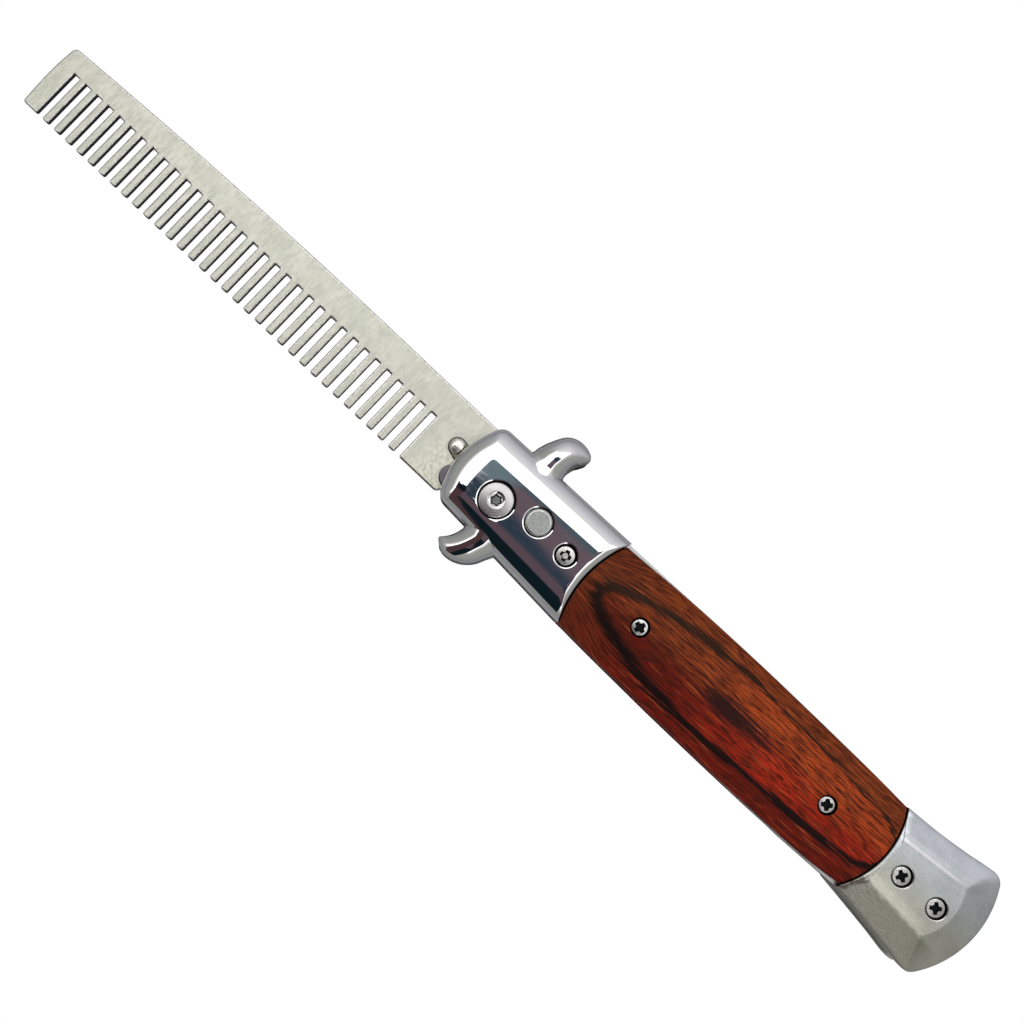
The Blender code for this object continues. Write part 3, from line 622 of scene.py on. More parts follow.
def pommel_finish():
    """Satin plate: soft clouds and fine brushing along the facets. Painted reflection makes it bluer and
    lighter above and yellower below, painted shade darkens the lower bevel, and painted highlights run along
    the lower crease and in a line along the upper one."""
    f = Finish("pommel_plate", 1.0, 0.3)
    brush = f.noise(f.place(stretch=(0.12, 1.0, 1.0)), 8.0, 4.0, 0.6)
    clouds = f.noise(f.place(), 0.3, 4.0, 0.6)
    marks = f.noise(f.place(stretch=(0.3, 1.0, 1.0), turn=-20.0), 1.8, 4.0, 0.65)
    place = f.place()
    x, y = f.axis(place, "X"), f.axis(place, "Y")
    over_lower = y + ((x - 94.6) * 0.06 + 3.3) + (marks - 0.5) * 1.6
    over_upper = y - ((x - 94.5) * 0.10 + 6.2)
    # Bluer and lighter above, yellower below: painted reflection of the room
    light = f.blend(f.span(y, -2.0, 5.0), (0.66, 0.66, 0.60), (0.70, 0.74, 0.79))
    deep = f.blend(f.span(y, -2.0, 5.0), (0.58, 0.58, 0.53), (0.62, 0.66, 0.70))
    colour = f.blend(f.span(clouds, 0.35, 0.65), deep, light)
    # The lower bevel darker: painted shade
    under = f.fall(over_lower, -0.9, -0.1) * f.fall(x, 108.0, 113.0)
    colour = f.blend(under, colour, (0.385, 0.375, 0.325))
    # Bright bands along the lower crease and the upper one: painted highlights
    lower_crease_highlight = f.span(over_lower, -0.5, 0.1) * f.fall(over_lower, 0.6, 2.6, 0.5)
    colour = f.blend(lower_crease_highlight * f.fall(x, 104.0, 109.0), colour, (1.0, 0.98, 0.84))
    upper_crease_highlight = f.fall(abs(over_upper), 0.1, 0.5, 0.7) * f.fall(x, 105.0, 108.0)
    colour = f.blend(upper_crease_highlight, colour, (0.97, 0.95, 1.0))
    f.put("Base Color", f.blend(f.span(marks, 0.45, 0.7, 0.0, 0.25), colour, (0.50, 0.49, 0.46)))
    f.put("Roughness", f.span(brush, 0.3, 0.7, 0.20, 0.32))
    f.bump(brush, 0.25, 0.008)
    return f.material


def nickel_finish():
    """Bright nickel plate with a fine turned grain and small stains."""
    f = Finish("screw_nickel", 1.0, 0.22)
    grain = f.noise(f.place(), 4.0)
    f.put("Base Color", f.blend(f.span(grain, 0.4, 0.7), (0.74, 0.74, 0.74), (0.50, 0.49, 0.48)))
    f.put("Roughness", f.span(grain, 0.3, 0.7, 0.18, 0.32))
    f.bump(grain, 0.2, 0.01)
    return f.material


def ringed_finish(name, centre, light, dark, pitch, roughness):
    """Lathe-turned metal: faint rings about the centre, a little off round, over soft stains."""
    f = Finish(name, 1.0, roughness)
    place = f.place(centre)
    off_round = f.distance(centre) + f.noise(place, 0.7) * 1.2
    rings = f.math("SINE", off_round * (2 * math.pi / pitch)) * f.span(f.noise(place, 0.8, 2.0), 0.4, 0.65)
    stain = f.span(f.noise(place, 1.4), 0.4, 0.7)
    colour = f.blend(f.span(rings, -1.0, 1.0, 0.0, 0.6), light, dark)
    f.put("Base Color", f.blend(stain * 0.5, colour, dark))
    f.bump(rings, 0.25, 0.008)
    return f.material


def polished_finish():
    """Polished tang plate, slightly stained, more yellow under the stop pin."""
    f = Finish("polished_steel", 1.0, 0.2)
    stain = f.noise(f.place(), 0.9)
    colour = f.blend(stain, (0.14, 0.13, 0.16), (0.26, 0.23, 0.27))
    f.put("Base Color", f.blend(f.fall(f.distance(PIN_AT), 2.2, 3.0), colour, (0.17, 0.175, 0.13)))
    f.bump(stain, 0.2, 0.01)
    return f.material


def liner_finish():
    """Rolled sheet steel with lengthwise drawing marks."""
    f = Finish("liner_steel", 1.0, 0.32)
    marks = f.noise(f.place(stretch=(0.08, 1.0, 1.0)), 5.0, 4.0)
    f.put("Base Color", f.blend(marks, (0.55, 0.56, 0.58), (0.72, 0.73, 0.74)))
    f.put("Roughness", f.span(marks, 0.3, 0.7, 0.26, 0.4))
    f.bump(marks, 0.3, 0.01)
    return f.material


def grime_finish():
    """Painted shade: near black, for the insides of recesses, bores and screw seats, the wood's end seams and
    the horns' feet.
    """
    f = Finish("painted_shade_dark", 0.0, 0.6)
    f.put("Specular IOR Level", 0.08)
    f.put("Base Color", f.blend(f.noise(f.place(), 6.0), (0.002, 0.003, 0.004), (0.014, 0.014, 0.016)))
    return f.material


def wood_finish():
    """Dyed, laminated wood under clear lacquer.

    The crown is cut through flat layers, so one dark layer shows as a long closed loop. Its level is a power
    of the distance along plus the square of the distance across, as shares of the loop's size, and is 1 on
    the dark line. Divided by its slope, it tells how far a place is beyond the line in millimetres. Dark
    fibres run along the handle, close in on the loop's nose and feather its line.
    """
    f = Finish("red_wood", 0.0, 0.3)
    place = f.place()
    x, y = f.axis(place, "X"), f.axis(place, "Y")
    sway = f.noise(f.place(stretch=(0.07, 0.15, 0.3)), 1.0) - 0.5
    middle = f.ramp(x, 20.0, 94.0, 0.9, 1.85) + sway * 1.2
    half_height = f.ramp(x, 54.5, 94.0, 7.0, 5.15)
    half_length = f.ramp(x, 54.4, 54.6, 30.1, 40.0)
    power = f.ramp(x, 54.4, 54.6, 1.8, 12.0)
    along = abs(x - 54.5) / half_length
    across = abs(y - middle) / half_height
    reach = f.math("POWER", along, power)
    level = reach + across * across
    climb_x = power * reach / (f.math("MAXIMUM", along, 0.01) * half_length)
    climb_y = across * 2.0 / half_height
    climb = f.math("SQRT", climb_x * climb_x + climb_y * climb_y)
    beyond = (level - 1.0) / f.math("MAXIMUM", climb, 0.05)

    # Fibres, thin lines many times longer than wide, that close in on the loop's nose
    near = f.ramp(x, 20.0, 36.0, 1.0, 0.0)
    squeeze = near * near * f.span(beyond, -2.5, 1.0, 0.25, 0.95)
    bent = (y - middle) * (squeeze + 1.0)

    def fibres(stretch, offset, scale, detail, roughness=0.5):
        """Noise drawn out along the bent fibres. Each offset gives another set."""
        return f.noise(f.join(x * stretch, bent + offset), scale, detail, roughness)

    fibre = fibres(0.05, 0.0, 2.3, 3.0, 0.6)
    fine = fibres(0.06, 60.0, 2.6, 2.0)
    strand = fibres(0.07, 40.0, 3.0, 2.0, 0.6)
    clump = fibres(0.10, 80.0, 0.75, 2.0)

    # Ground colours: orange above, red below the middle, browner outside the loop. Their darkening below the
    # middle and towards the bolster is painted shade, and a soft lighter patch in the middle is a painted
    # sheen
    height = y + (clump - 0.5) * 7.0
    inside = f.blend(f.span(height, -1.5, 4.0), (0.32, 0.017, 0.005), (0.40, 0.058, 0.011))
    front = f.blend(f.span(height, -1.5, 4.5), (0.105, 0.008, 0.004), (0.22, 0.042, 0.010))
    inside = f.blend(f.fall(x, 38.0, 68.0), inside, front)
    # A soft lighter patch in the middle: painted sheen
    painted_sheen = f.fall(f.distance((70.0, -0.2), (1 / 12.0, 1 / 3.4)), 0.2, 1.1, 0.5)
    inside = f.blend(painted_sheen, inside, (0.52, 0.034, 0.009))
    outside = f.blend(f.span(y, -6.0, 5.0), (0.15, 0.009, 0.004), (0.23, 0.045, 0.011))
    outside = f.blend(f.fall(x, 22.0, 42.0, 0.7), outside, (0.13, 0.026, 0.008))
    colour = f.blend(f.span(beyond, -0.2, 0.5), inside, outside)

    # Strands, and fine dark lines where the noise crosses its middle value
    colour = f.blend(f.fall(strand, 0.40, 0.56, 0.62), colour, (0.045, 0.008, 0.004))
    breaks = f.span(fibres(0.22, 20.0, 1.3, 1.0), 0.36, 0.56, 0.25, 0.85)
    line = f.fall(abs(fine - 0.5), 0.02, 0.075)
    colour = f.blend(line * breaks, colour, (0.035, 0.007, 0.004))
    colour = f.blend(f.span(fibre, 0.56, 0.70, 0.0, 0.35), colour, (0.60, 0.13, 0.035))

    # The dark line, broad and brown at its front and top, thin and black along the lower side, and a fainter
    # trace inside it
    feather = (fibre - 0.5) * f.span(x, 30.0, 66.0, 4.2, 2.4)
    width = f.span(x, 26.0, 60.0, 1.1, 0.62) * f.span(clump, 0.3, 0.7, 0.8, 1.25)
    width = width * f.span(y, -1.0, 3.0, 1.1, f.span(x, 40.0, 62.0, 0.9, 0.5))
    ink = f.blend(f.span(y, -3.0, 4.0), (0.006, 0.004, 0.004), (0.022, 0.010, 0.006))
    colour = f.blend(f.fall(abs(beyond + feather) / width, 0.45, 1.4, 0.96), colour, ink)
    trace = f.fall(abs(beyond + 1.5 + feather * 0.5), 0.05, 0.4, 0.7) * f.fall(y, -1.0, 1.0)
    colour = f.blend(trace * f.fall(x, 36.0, 48.0), colour, (0.025, 0.007, 0.006))

    # One dark blotch left of the middle, where the next layer just shows
    blotch = f.distance((56.4, 1.3), (1 / 11.0, 1 / 2.4), 2.0) + (fibre - 0.5) * 2.4
    colour = f.blend(f.fall(blotch, 0.35, 1.1, 0.94), colour, (0.020, 0.007, 0.007))

    f.put("Base Color", colour)
    f.put("Specular IOR Level", 0.06)
    f.put("Roughness", f.span(fibre, 0.3, 0.7, 0.34, 0.24))
    f.bump(fibre, 0.35, 0.03)
    f.bump(strand, 0.2)
    return f.material


COMB_FACE = comb_face_finish()
COMB_WALL_SHADE = comb_wall_finish()
HIGHLIGHT_STEEL = burnished_finish()
CHROME = chrome_finish()
HORN_SIDE_SHADE = as_cast_finish()
POMMEL_PLATE = pommel_finish()
NICKEL = nickel_finish()
BUTTON_FACE = ringed_finish("button_face", BUTTON_AT, (0.58, 0.60, 0.57), (0.36, 0.37, 0.36), 0.55, 0.45)
TURNED = ringed_finish("pivot_nickel", (0.0, 0.0), (0.66, 0.64, 0.66), (0.52, 0.51, 0.52), 0.35, 0.27)
# A darker copy of the pivot's turned finish: painted shade on its recess floor
PIVOT_RECESS_SHADE = ringed_finish("pivot_recess_floor_shade", (0.0, 0.0), (0.30, 0.30, 0.31), (0.12, 0.12, 0.13), 0.4, 0.4)
POLISHED = polished_finish()
LINER_STEEL = liner_finish()
PAINTED_SHADE = grime_finish()
WOOD = wood_finish()


def joint_share(y):
    """Distance from the joints' middle, as a share of their half height."""
    return (np.asarray(y) - JOINT_CENTRE_Y) / JOINT_HALF_HEIGHT


def joint_x(y, joint):
    middle, sag = joint
    return middle + sag * joint_share(y) ** 2


def comb_outline():
    """Anticlockwise: 33 slots between rounded teeth, the heel, the round tang, then the spine to the tip. The
    spine is straight up to the bend, and beyond it falls as a parabola."""
    half = SLOT_WIDTH / 2
    slot = np.concatenate([
        arc((-half - TOOTH_CORNER, TOOTH_TIP_Y + TOOTH_CORNER), TOOTH_CORNER, -90.0, 0.0, 5),
        arc((-half + SLOT_CORNER, SLOT_END_Y - SLOT_CORNER), SLOT_CORNER, 180.0, 90.0, 5),
        arc((half - SLOT_CORNER, SLOT_END_Y - SLOT_CORNER), SLOT_CORNER, 90.0, 0.0, 5),
        arc((half + TOOTH_CORNER, TOOTH_TIP_Y + TOOTH_CORNER), TOOTH_CORNER, 180.0, 270.0, 5),
    ])
    middles = LAST_SLOT_EDGE_X - half - SLOT_PITCH * np.arange(SLOT_COUNT)[::-1]
    slots = (slot[None] + np.column_stack([middles, np.zeros(SLOT_COUNT)])[:, None]).reshape(-1, 2)

    def spine_at(x):
        return SPINE_Y - np.maximum(0.0, SPINE_BEND_X - x) ** 2 / (2 * SPINE_BEND_RADIUS)

    spine_x = np.linspace(-6.4, TIP_TOP_X + 1.2, 70)
    spine = np.column_stack([spine_x, spine_at(spine_x)])
    tip_middle = (TIP_X, 0.0)
    return np.concatenate([
        round_corner(tip_middle, (TIP_X + 0.25, TOOTH_TIP_Y), slots[0], 0.45, 6),
        slots,
        round_corner(slots[-1], (-9.3, TOOTH_TIP_Y), (-8.8, -4.9), 0.75, 7),
        [(-8.2, -4.9)],
        arc((0.0, 0.0), TANG_RADIUS, 240.0, 474.0, 60),
        spine,
        round_corner(spine[-1], (TIP_TOP_X, spine_at(TIP_TOP_X)), tip_middle, 1.1, 8),
        smooth_curve([(TIP_X + 0.08, 4.0), (TIP_X, 1.0), (TIP_X + 0.06, -2.5)], 7),
    ])


def comb_blade():
    """The comb plate: its outline with rounded edges, and the pivot's hole. Its walls and the lower part of
    each rounded edge are dull and near black as painted shade, and the upper part is bright as a painted
    highlight."""
    plate = rounded_plate(comb_outline(), -COMB_Z, COMB_Z, COMB_EDGE, 5)
    made = add_piece("comb_plate", plate, [COMB_FACE, HIGHLIGHT_STEEL, COMB_WALL_SHADE])
    upright = face_tilt(made)
    # Finishes by tilt: level faces take the face, the tilted edge a brighter steel as painted highlight, and
    # the steep walls near black as painted shade
    share_out(made, (upright < 0.999).astype(np.int32) + (upright < 0.8))
    cut(made, [(rod(PIVOT_HOLE_RADIUS, -2.0, 2.0), COMB_WALL_SHADE)])
    dress(made, "comb", "comb_blade")


def stop_pin():
    """A rivet with a dome on each face: a quarter ellipse turned about the pin's axis."""
    low, high = PIN_HEAD_Z
    wall = low + 0.08
    upper = [(PIN_RADIUS, low), (PIN_HEAD_RADIUS, low)]
    upper += rounded_rim(PIN_HEAD_RADIUS, PIN_HEAD_RADIUS, wall, high - wall, 86.0, 12)
    lower = np.array(upper)[::-1] * (1.0, -1.0)
    # The dome takes the brighter highlight steel, partly the rivet's polish and partly a painted highlight
    made = add_piece("stop_pin_domed", turned([*lower, *upper], 48, PIN_AT), [HIGHLIGHT_STEEL])
    dress(made, "comb", "stop_pin")


def tang_plate_outline():
    """A disc about the pivot with a round tab under the stop pin and a free round lobe beside it."""
    pin_angle, lobe_angle = (math.degrees(math.atan2(y, x)) % 360.0 for x, y in (PIN_AT, LOBE_AT))
    meeting = math.radians((pin_angle + lobe_angle) / 2.0)
    reach = (PIN_TAB_RADIUS + LOBE_RADIUS) / 2.0 / math.sin(math.radians((lobe_angle - pin_angle) / 2.0))
    spread = math.degrees(math.asin(LOBE_RADIUS / TANG_BOSS_RADIUS)) + 2.0
    return np.concatenate([
        arc((0.0, 0.0), TANG_PLATE_RADIUS, lobe_angle + spread, pin_angle - spread + 360.0, 48),
        arc(PIN_AT, PIN_TAB_RADIUS, pin_angle - 90.0, pin_angle + 90.0, 24),
        [(reach * math.cos(meeting), reach * math.sin(meeting))],
        arc(LOBE_AT, LOBE_RADIUS, lobe_angle - 90.0, lobe_angle + 90.0, 24),
    ])


def tang_plate(face, side):
    """A thin polished plate whose sheared edges are near black with painted shade, and the round boss that
    spaces it from the liner.
    """
    low, high = TANG_PLATE_Z
    plate = rounded_plate(tang_plate_outline(), low, high, TANG_PLATE_EDGE, 3, side)
    made = add_piece(f"tang_plate_{face}_fine", plate, [POLISHED, COMB_WALL_SHADE])
    # Steep faces, and the holes' walls below, take the near-black finish as painted shade
    share_out(made, face_tilt(made) < 0.97)
    cut(made, [(rod(TANG_BOSS_RADIUS, high - 0.1, TANG_BOSS_Z, side=side), POLISHED)], "UNION")
    cut(made, [
        (rod(PIVOT_HOLE_RADIUS, -3.0, 3.0), COMB_WALL_SHADE),
        (rod(PIN_RADIUS + 0.1, -3.0, 3.0, PIN_AT, sides=32), COMB_WALL_SHADE),
    ])
    dress(made, "comb", f"tang_plate_{face}")


def bolster_outline(back, front_top, front_bottom, front_x, radius):
    """Anticlockwise from the lower back corner: back joint, top edge, front bowed as a parabola, bottom."""
    share = np.linspace(1.0, -1.0, 31)[1:-1]
    front_top, front_bottom = np.asarray(front_top), np.asarray(front_bottom)
    middle, half = (front_top + front_bottom) / 2.0, (front_top - front_bottom) / 2.0
    front = middle + half * share[:, None]
    front[:, 0] += (front_x - middle[0]) * (1.0 - share**2)
    return np.concatenate([
        back,
        np.linspace(back[-1], front_top, 28)[1:-3],
        round_corner(back[-1], front_top, front[0], radius, 12),
        front[2:-2],
        round_corner(front[-1], front_bottom, back[0], radius, 12),
        np.linspace(front_bottom, back[0], 28)[3:-1],
    ])


def bolster_shell(side):
    """Rings from the wall to the table. With q the share of the way out from the table to the wall, the
    height is the table's less lip * q and less the rest of the drop times 1 - (1 - q^p)^(1/p). The back edge
    drops only as far as the wood's crown."""
    back_y = np.linspace(*BOLSTER_BACK_Y, 25)
    back = np.column_stack([joint_x(back_y, BOLSTER_BACK), back_y])
    outer = bolster_outline(back, BOLSTER_FRONT_TOP, BOLSTER_FRONT_BOTTOM, BOLSTER_FRONT_X,
                            BOLSTER_CORNER_RADIUS)
    table_x, table_back_x = BOLSTER_TABLE_X
    table_back = np.linspace((table_back_x, BOLSTER_TABLE_Y[0]), (table_back_x, BOLSTER_TABLE_Y[1]),
                             len(back))
    table = bolster_outline(table_back, (table_x, BOLSTER_TABLE_FRONT_TOP_Y), (table_x, BOLSTER_TABLE_Y[0]),
                            table_x - 0.2, BOLSTER_TABLE_CORNER_RADIUS)
    reach = np.minimum(np.abs(back_y - back_y.mean()) / (back_y[-1] - back_y.mean()), 1.0)
    drop = np.full(len(outer), TABLE_Z - BOLSTER_WALL_Z)
    drop[:len(back)] -= (BOLSTER_BACK_Z - BOLSTER_WALL_Z) * superellipse(reach, SCALE_CROWN_POWER)
    rings = [ring_at(outer, COVER_BASE_Z)]
    for share in np.cos(np.linspace(0.0, math.pi / 2, 26)) ** 0.75:
        ring = outer * share + table * (1.0 - share)
        fall = 1.0 - superellipse(share, SHOULDER_POWER)
        rings.append(np.column_stack([ring, TABLE_Z - SHOULDER_LIP * share - (drop - SHOULDER_LIP) * fall]))
    inner = table + (table.mean(0) - table) * 0.01
    rings.append(ring_at(inner, TABLE_Z))
    return ring_solid(rings, side)


def horn(stations, side):
    """A guard horn: smooth rows from root to tip, each half a superellipse from front to rear edge."""
    rows = smooth_curve(stations, 72)
    across = sweep(37)
    share = (across + 1.0) / 2.0
    x = rows[:, 0:1] * (1.0 - share) + rows[:, 2:3] * share
    y = rows[:, 1:2] * (1.0 - share) + rows[:, 3:4] * share
    z = HORN_EDGE_Z + (rows[:, 4:5] - HORN_EDGE_Z) * superellipse(across, HORN_POWER)
    turn = (x[1, 0] - x[0, 0]) * (y[0, 1] - y[0, 0]) - (y[1, 0] - y[0, 0]) * (x[0, 1] - x[0, 0])
    if turn < 0:
        x, y, z = x[:, ::-1], y[:, ::-1], z[:, ::-1]
    return field_solid(x, y, z, HORN_BASE_Z, side)


def screw_facts(node):
    """Axis X, Y, head radius and head height of a CAD screw, all as for the front, in millimetres."""
    low, high = (np.array(corner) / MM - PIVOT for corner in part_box(node))
    top = max(abs(low[2]), abs(high[2]))
    return tuple((low[:2] + high[:2]) / 2.0), (high[0] - low[0]) / 2.0, top


def seat_cutters(radius, seat_z, bore, at, side, metal=None, lip=LIP, sides=64):
    """A counterbore in painted shade over a through hole and, in metal, a shallow bright cone that dresses
    its mouth.
    """
    counterbore = [(bore, SEAT_BORE_Z), (bore, seat_z), (radius, seat_z), (radius, CUTTER_TOP_Z)]
    cutters = [(turned(counterbore, sides, at, side), PAINTED_SHADE)]
    if metal:
        mouth = [(radius - 0.3, TABLE_Z - 0.14), (radius, TABLE_Z - 0.10),
                 (radius + 0.02, TABLE_Z - LIP_FALL), (radius + lip, TABLE_Z), (radius + lip, CUTTER_TOP_Z)]
        cutters.append((turned(mouth, sides, at, side), metal))
    return cutters


def screw_seat(node, side, metal=None, lip=LIP, sides=64):
    """The cutters for a small screw's seat, which lies just under its head."""
    at, _, top = screw_facts(node)
    radius = SCREW_SEAT_RADII[node.split("_")[0]]
    seat_z = top - SCREW_HEAD_HEIGHT - SCREW_SEAT_DEPTH
    return seat_cutters(radius, seat_z, SCREW_BORE_RADIUS, at, side, metal, lip, sides)


def bolster(face, side):
    """The chromed cap: its shell with both horns joined on, less the liner's room and the screws' seats."""
    made = add_piece(f"bolster_{face}_shell", bolster_shell(side), [CHROME])
    for stations in (UPPER_HORN, LOWER_HORN):
        # A horn's steep sides take the darker finish and its foot between the halves is near black, both
        # painted shade
        cut(made, [(horn(stations, side), CHROME, HORN_SIDE_SHADE, PAINTED_SHADE)], "UNION")
    liner_room = np.array([(-12.0, -7.4), (24.0, -8.6), (24.0, 11.6), (-12.0, 10.95)])
    room = ring_solid([ring_at(liner_room, 0.0), ring_at(liner_room, COVER_BASE_Z)], side)
    holes = seat_cutters(PIVOT_SEAT_RADIUS, PIVOT_SEAT_Z, PIVOT_HOLE_RADIUS, (0.0, 0.0), side, CHROME)
    holes += screw_seat(f"bolster_screw_{face}", side, CHROME)
    if side > 0:
        holes += seat_cutters(BUTTON_BORE_RADIUS, 2.0, BUTTON_BORE_RADIUS - 0.01, BUTTON_AT, side, CHROME)
    # The seats and the button's bore are dark with painted shade
    cut(made, [(room, CHROME), *holes])
    dress(made, "handle", f"bolster_{face}")


def scale(face, side):
    """The wood grip: a superellipse crown across it, between ends that follow the two joints. Its first rows
    lie close together and step down to a rounded front edge."""
    edges = smooth_curve(SCALE_EDGES, 200)
    along = np.linspace(0.0, 1.0, 90)[:, None]
    across = sweep(49)[None, :]
    rough_x = BOLSTER_BACK[0] + (WOOD_BACK[0] - BOLSTER_BACK[0]) * along
    low, high = (np.interp(rough_x, edges[:, 0], edges[:, column]) for column in (1, 2))
    y = (low + high) / 2.0 + (high - low) / 2.0 * across
    x = (joint_x(y, BOLSTER_BACK) + GAP) * (1.0 - along) + joint_x(y, WOOD_BACK) * along
    crown = SCALE_WALL_Z + (SCALE_CROWN_Z - SCALE_WALL_Z) * superellipse(across, SCALE_CROWN_POWER)
    z = np.broadcast_to(crown, x.shape).copy()
    x[:3] = joint_x(y[:3], BOLSTER_BACK) + np.array(SCALE_FRONT_GAPS)[:, None]
    z[:2] -= np.array(SCALE_FRONT_DROPS)[:, None]
    made = add_piece(f"scale_{face}_wood", field_solid(x, y, z, COVER_BASE_Z, side), [WOOD, PAINTED_SHADE])
    # Faces that look along X, at the front step and the back end, are the dark seams in painted shade
    share_out(made, face_tilt(made, 0) > 0.8)
    holes = [hole for number in (1, 2) for hole in screw_seat(f"scale_screw_{face}_{number}", side, sides=48)]
    cut(made, holes, crease=40.0)
    dress(made, "handle", f"scale_{face}")


def pommel_outlines():
    """The wall's outline and the table's, point for point: lower edge, end, upper edge and front joint."""
    front_y = np.linspace(*POMMEL_FRONT_Y, 33)
    front = np.column_stack([joint_x(front_y, WOOD_BACK) + GAP, front_y])
    centre = (POMMEL_END_X - POMMEL_END_RADIUS, POMMEL_END_CENTRE_Y)
    end = arc(centre, POMMEL_END_RADIUS, *POMMEL_END_ANGLES, 45)
    lower = smooth_curve([front[-1], *POMMEL_LOWER_EDGE], 22)[1:]
    upper = smooth_curve([*POMMEL_UPPER_EDGE, front[0]], 22)[:-1]
    lower_corner = parabola(lower[-1], POMMEL_LOWER_CORNER, end[0], 8)[1:-1]
    upper_corner = parabola(end[-1], POMMEL_UPPER_CORNER, upper[0], 8)[1:-1]
    outer = np.concatenate([lower, lower_corner, end, upper_corner, upper, front])
    table_lower = smooth_curve(POMMEL_TABLE_LOWER, 22)
    table_upper = smooth_curve(POMMEL_TABLE_UPPER, 22)
    share = np.linspace(-1.0, 1.0, len(end) + 14)[1:-1]
    start, finish = table_lower[-1], table_upper[0]
    table_end = (start + finish) / 2.0 + (finish - start) / 2.0 * share[:, None]
    table_end[:, 0] += (POMMEL_TABLE_END_X - table_end[:, 0]) * (1.0 - share**2)
    table_front = np.linspace(POMMEL_TABLE_UPPER[-1], POMMEL_TABLE_LOWER[0], 33)
    table = np.concatenate([table_lower[1:], table_end, table_upper[:-1], table_front])
    return outer, table


def pommel(face, side):
    """A faceted cap. Its height rises evenly from the wall's rounded edge to the table's softened one, but
    beside the table's upper edge a strip of the bevel is raised, which makes a flatter facet of its own,
    and the front stands almost as high as the table to meet the wood's crown."""
    outer, table = pommel_outlines()
    x, y = outer.T
    upper = np.interp(y, [9.0, 10.0], [0.0, 1.0]) * np.interp(x, [111.0, 113.0], [1.0, 0.0])
    upper *= POMMEL_STRIP_RISE
    front = np.where(x < 96.5, 1.0 - np.minimum(np.abs(joint_share(y)), 1.0) ** 3, 0.0)
    edge = rounded_rim(0.0, -0.05, POMMEL_WALL_Z - 0.15, 0.35, 80.0, 7)
    soft_z = TABLE_Z - 0.012
    slope = edge[-1] + np.outer(POMMEL_SLOPE_SHARES, np.subtract((0.97, soft_z), edge[-1]))
    rings = [ring_at(outer, COVER_BASE_Z)]
    for share, z in [(0.0, POMMEL_WALL_Z - 0.4), *edge, *slope, (1.0, TABLE_Z), (1.06, TABLE_Z)]:
        ring = ring_at(outer * (1.0 - share) + table * share, z)
        ring[:, 2] += upper * np.interp(share, [0.0, 1.0 - POMMEL_STRIP_SHARE, 1.0], [0.0, 1.0, 0.0])
        ring[:, 2] += front * np.interp(share, [0.0, 0.2, 1.0], POMMEL_FRONT_RISES)
        if share < 1.0:
            ring[:, 2] = np.minimum(ring[:, 2], soft_z)
        rings.append(ring)
    made = add_piece(f"pommel_{face}_cap", ring_solid(rings, side), [POMMEL_PLATE])
    nodes = [f"pommel_screw_{face}_{number}" for number in (1, 2)]
    cut(made, [hole for node in nodes for hole in screw_seat(node, side, NICKEL, POMMEL_LIP)])
    dress(made, "handle", f"pommel_{face}")


def cross_outline(reach, width, turn):
    """A cross recess: four square-ended arms whose inner corners are cut back in a curve."""
    arm = np.array([(reach, -width), (reach, width)])
    inner = round_corner((reach, width), (width * 1.15, width * 1.15), (width, reach), 0.35 * reach, 4)
    quarter = np.concatenate([arm, inner])
    turns = [(math.cos(a), math.sin(a)) for a in np.radians(turn + np.arange(4) * 90.0)]
    return np.concatenate([quarter @ np.array([[c, s], [-s, c]]) for c, s in turns])


def small_screw(node, side, turn):
    """A pan head with a rounded edge and a cross recess that narrows to its floor, on a short shaft."""
    at, radius, top = screw_facts(node)
    place = node.split("_")[0]
    radius += SCREW_HEAD_GROWTH[place]
    under = top - SCREW_HEAD_HEIGHT
    profile = [(SCREW_SHAFT_RADIUS, SCREW_TIP_Z), (SCREW_SHAFT_RADIUS, under), (radius, under),
               *rounded_rim(radius, 0.28, top - 0.3, 0.26), (radius * 0.5, top - 0.01), (radius * 0.2, top)]
    made = add_piece(node + "_fine", turned(profile, 48, at, side), [NICKEL])
    reach, width = CROSS_REACH[place] * radius, CROSS_WIDTH[place] * radius
    mouth = cross_outline(reach * 1.03, width * 1.06, turn)
    floor = cross_outline(reach * 0.42, width * 0.7, turn)
    recess = ring_solid([ring_at(floor + at, top - CROSS_DEPTH), ring_at(mouth + at, top + 0.2)], side)
    # The cross recess is painted shade, all but the bolster screws' floor
    cut(made, [(recess, NICKEL if place == "bolster" else PAINTED_SHADE, PAINTED_SHADE)], steep=0.95)
    dress(made, "handle", node)


def star_outline():
    """A six-lobed drive: the radius swings between two values six times round."""
    angles = np.linspace(0.0, 2.0 * math.pi, 72, endpoint=False)
    outer, inner = LOBE_DRIVE_RADII
    radius = (outer + inner) / 2.0 + (outer - inner) / 2.0 * np.cos(6.0 * angles)
    angles += math.radians(LOBE_DRIVE_TURN)
    return np.column_stack([radius * np.cos(angles), radius * np.sin(angles)])


def head_profile(high, centre_radius):
    """The pivot's head from its rim inwards: a rounded edge, then a face that rises as the radius squared."""
    rim = high - PIVOT_HEAD_FALL * PIVOT_HEAD_RADIUS**2
    radii = np.linspace(PIVOT_HEAD_RADIUS - 0.25, centre_radius, 9)
    edge = rounded_rim(PIVOT_HEAD_RADIUS, 0.2, rim - 0.18, 0.18, 80.0, 7)
    return edge + [(r, high - PIVOT_HEAD_FALL * r**2) for r in radii]


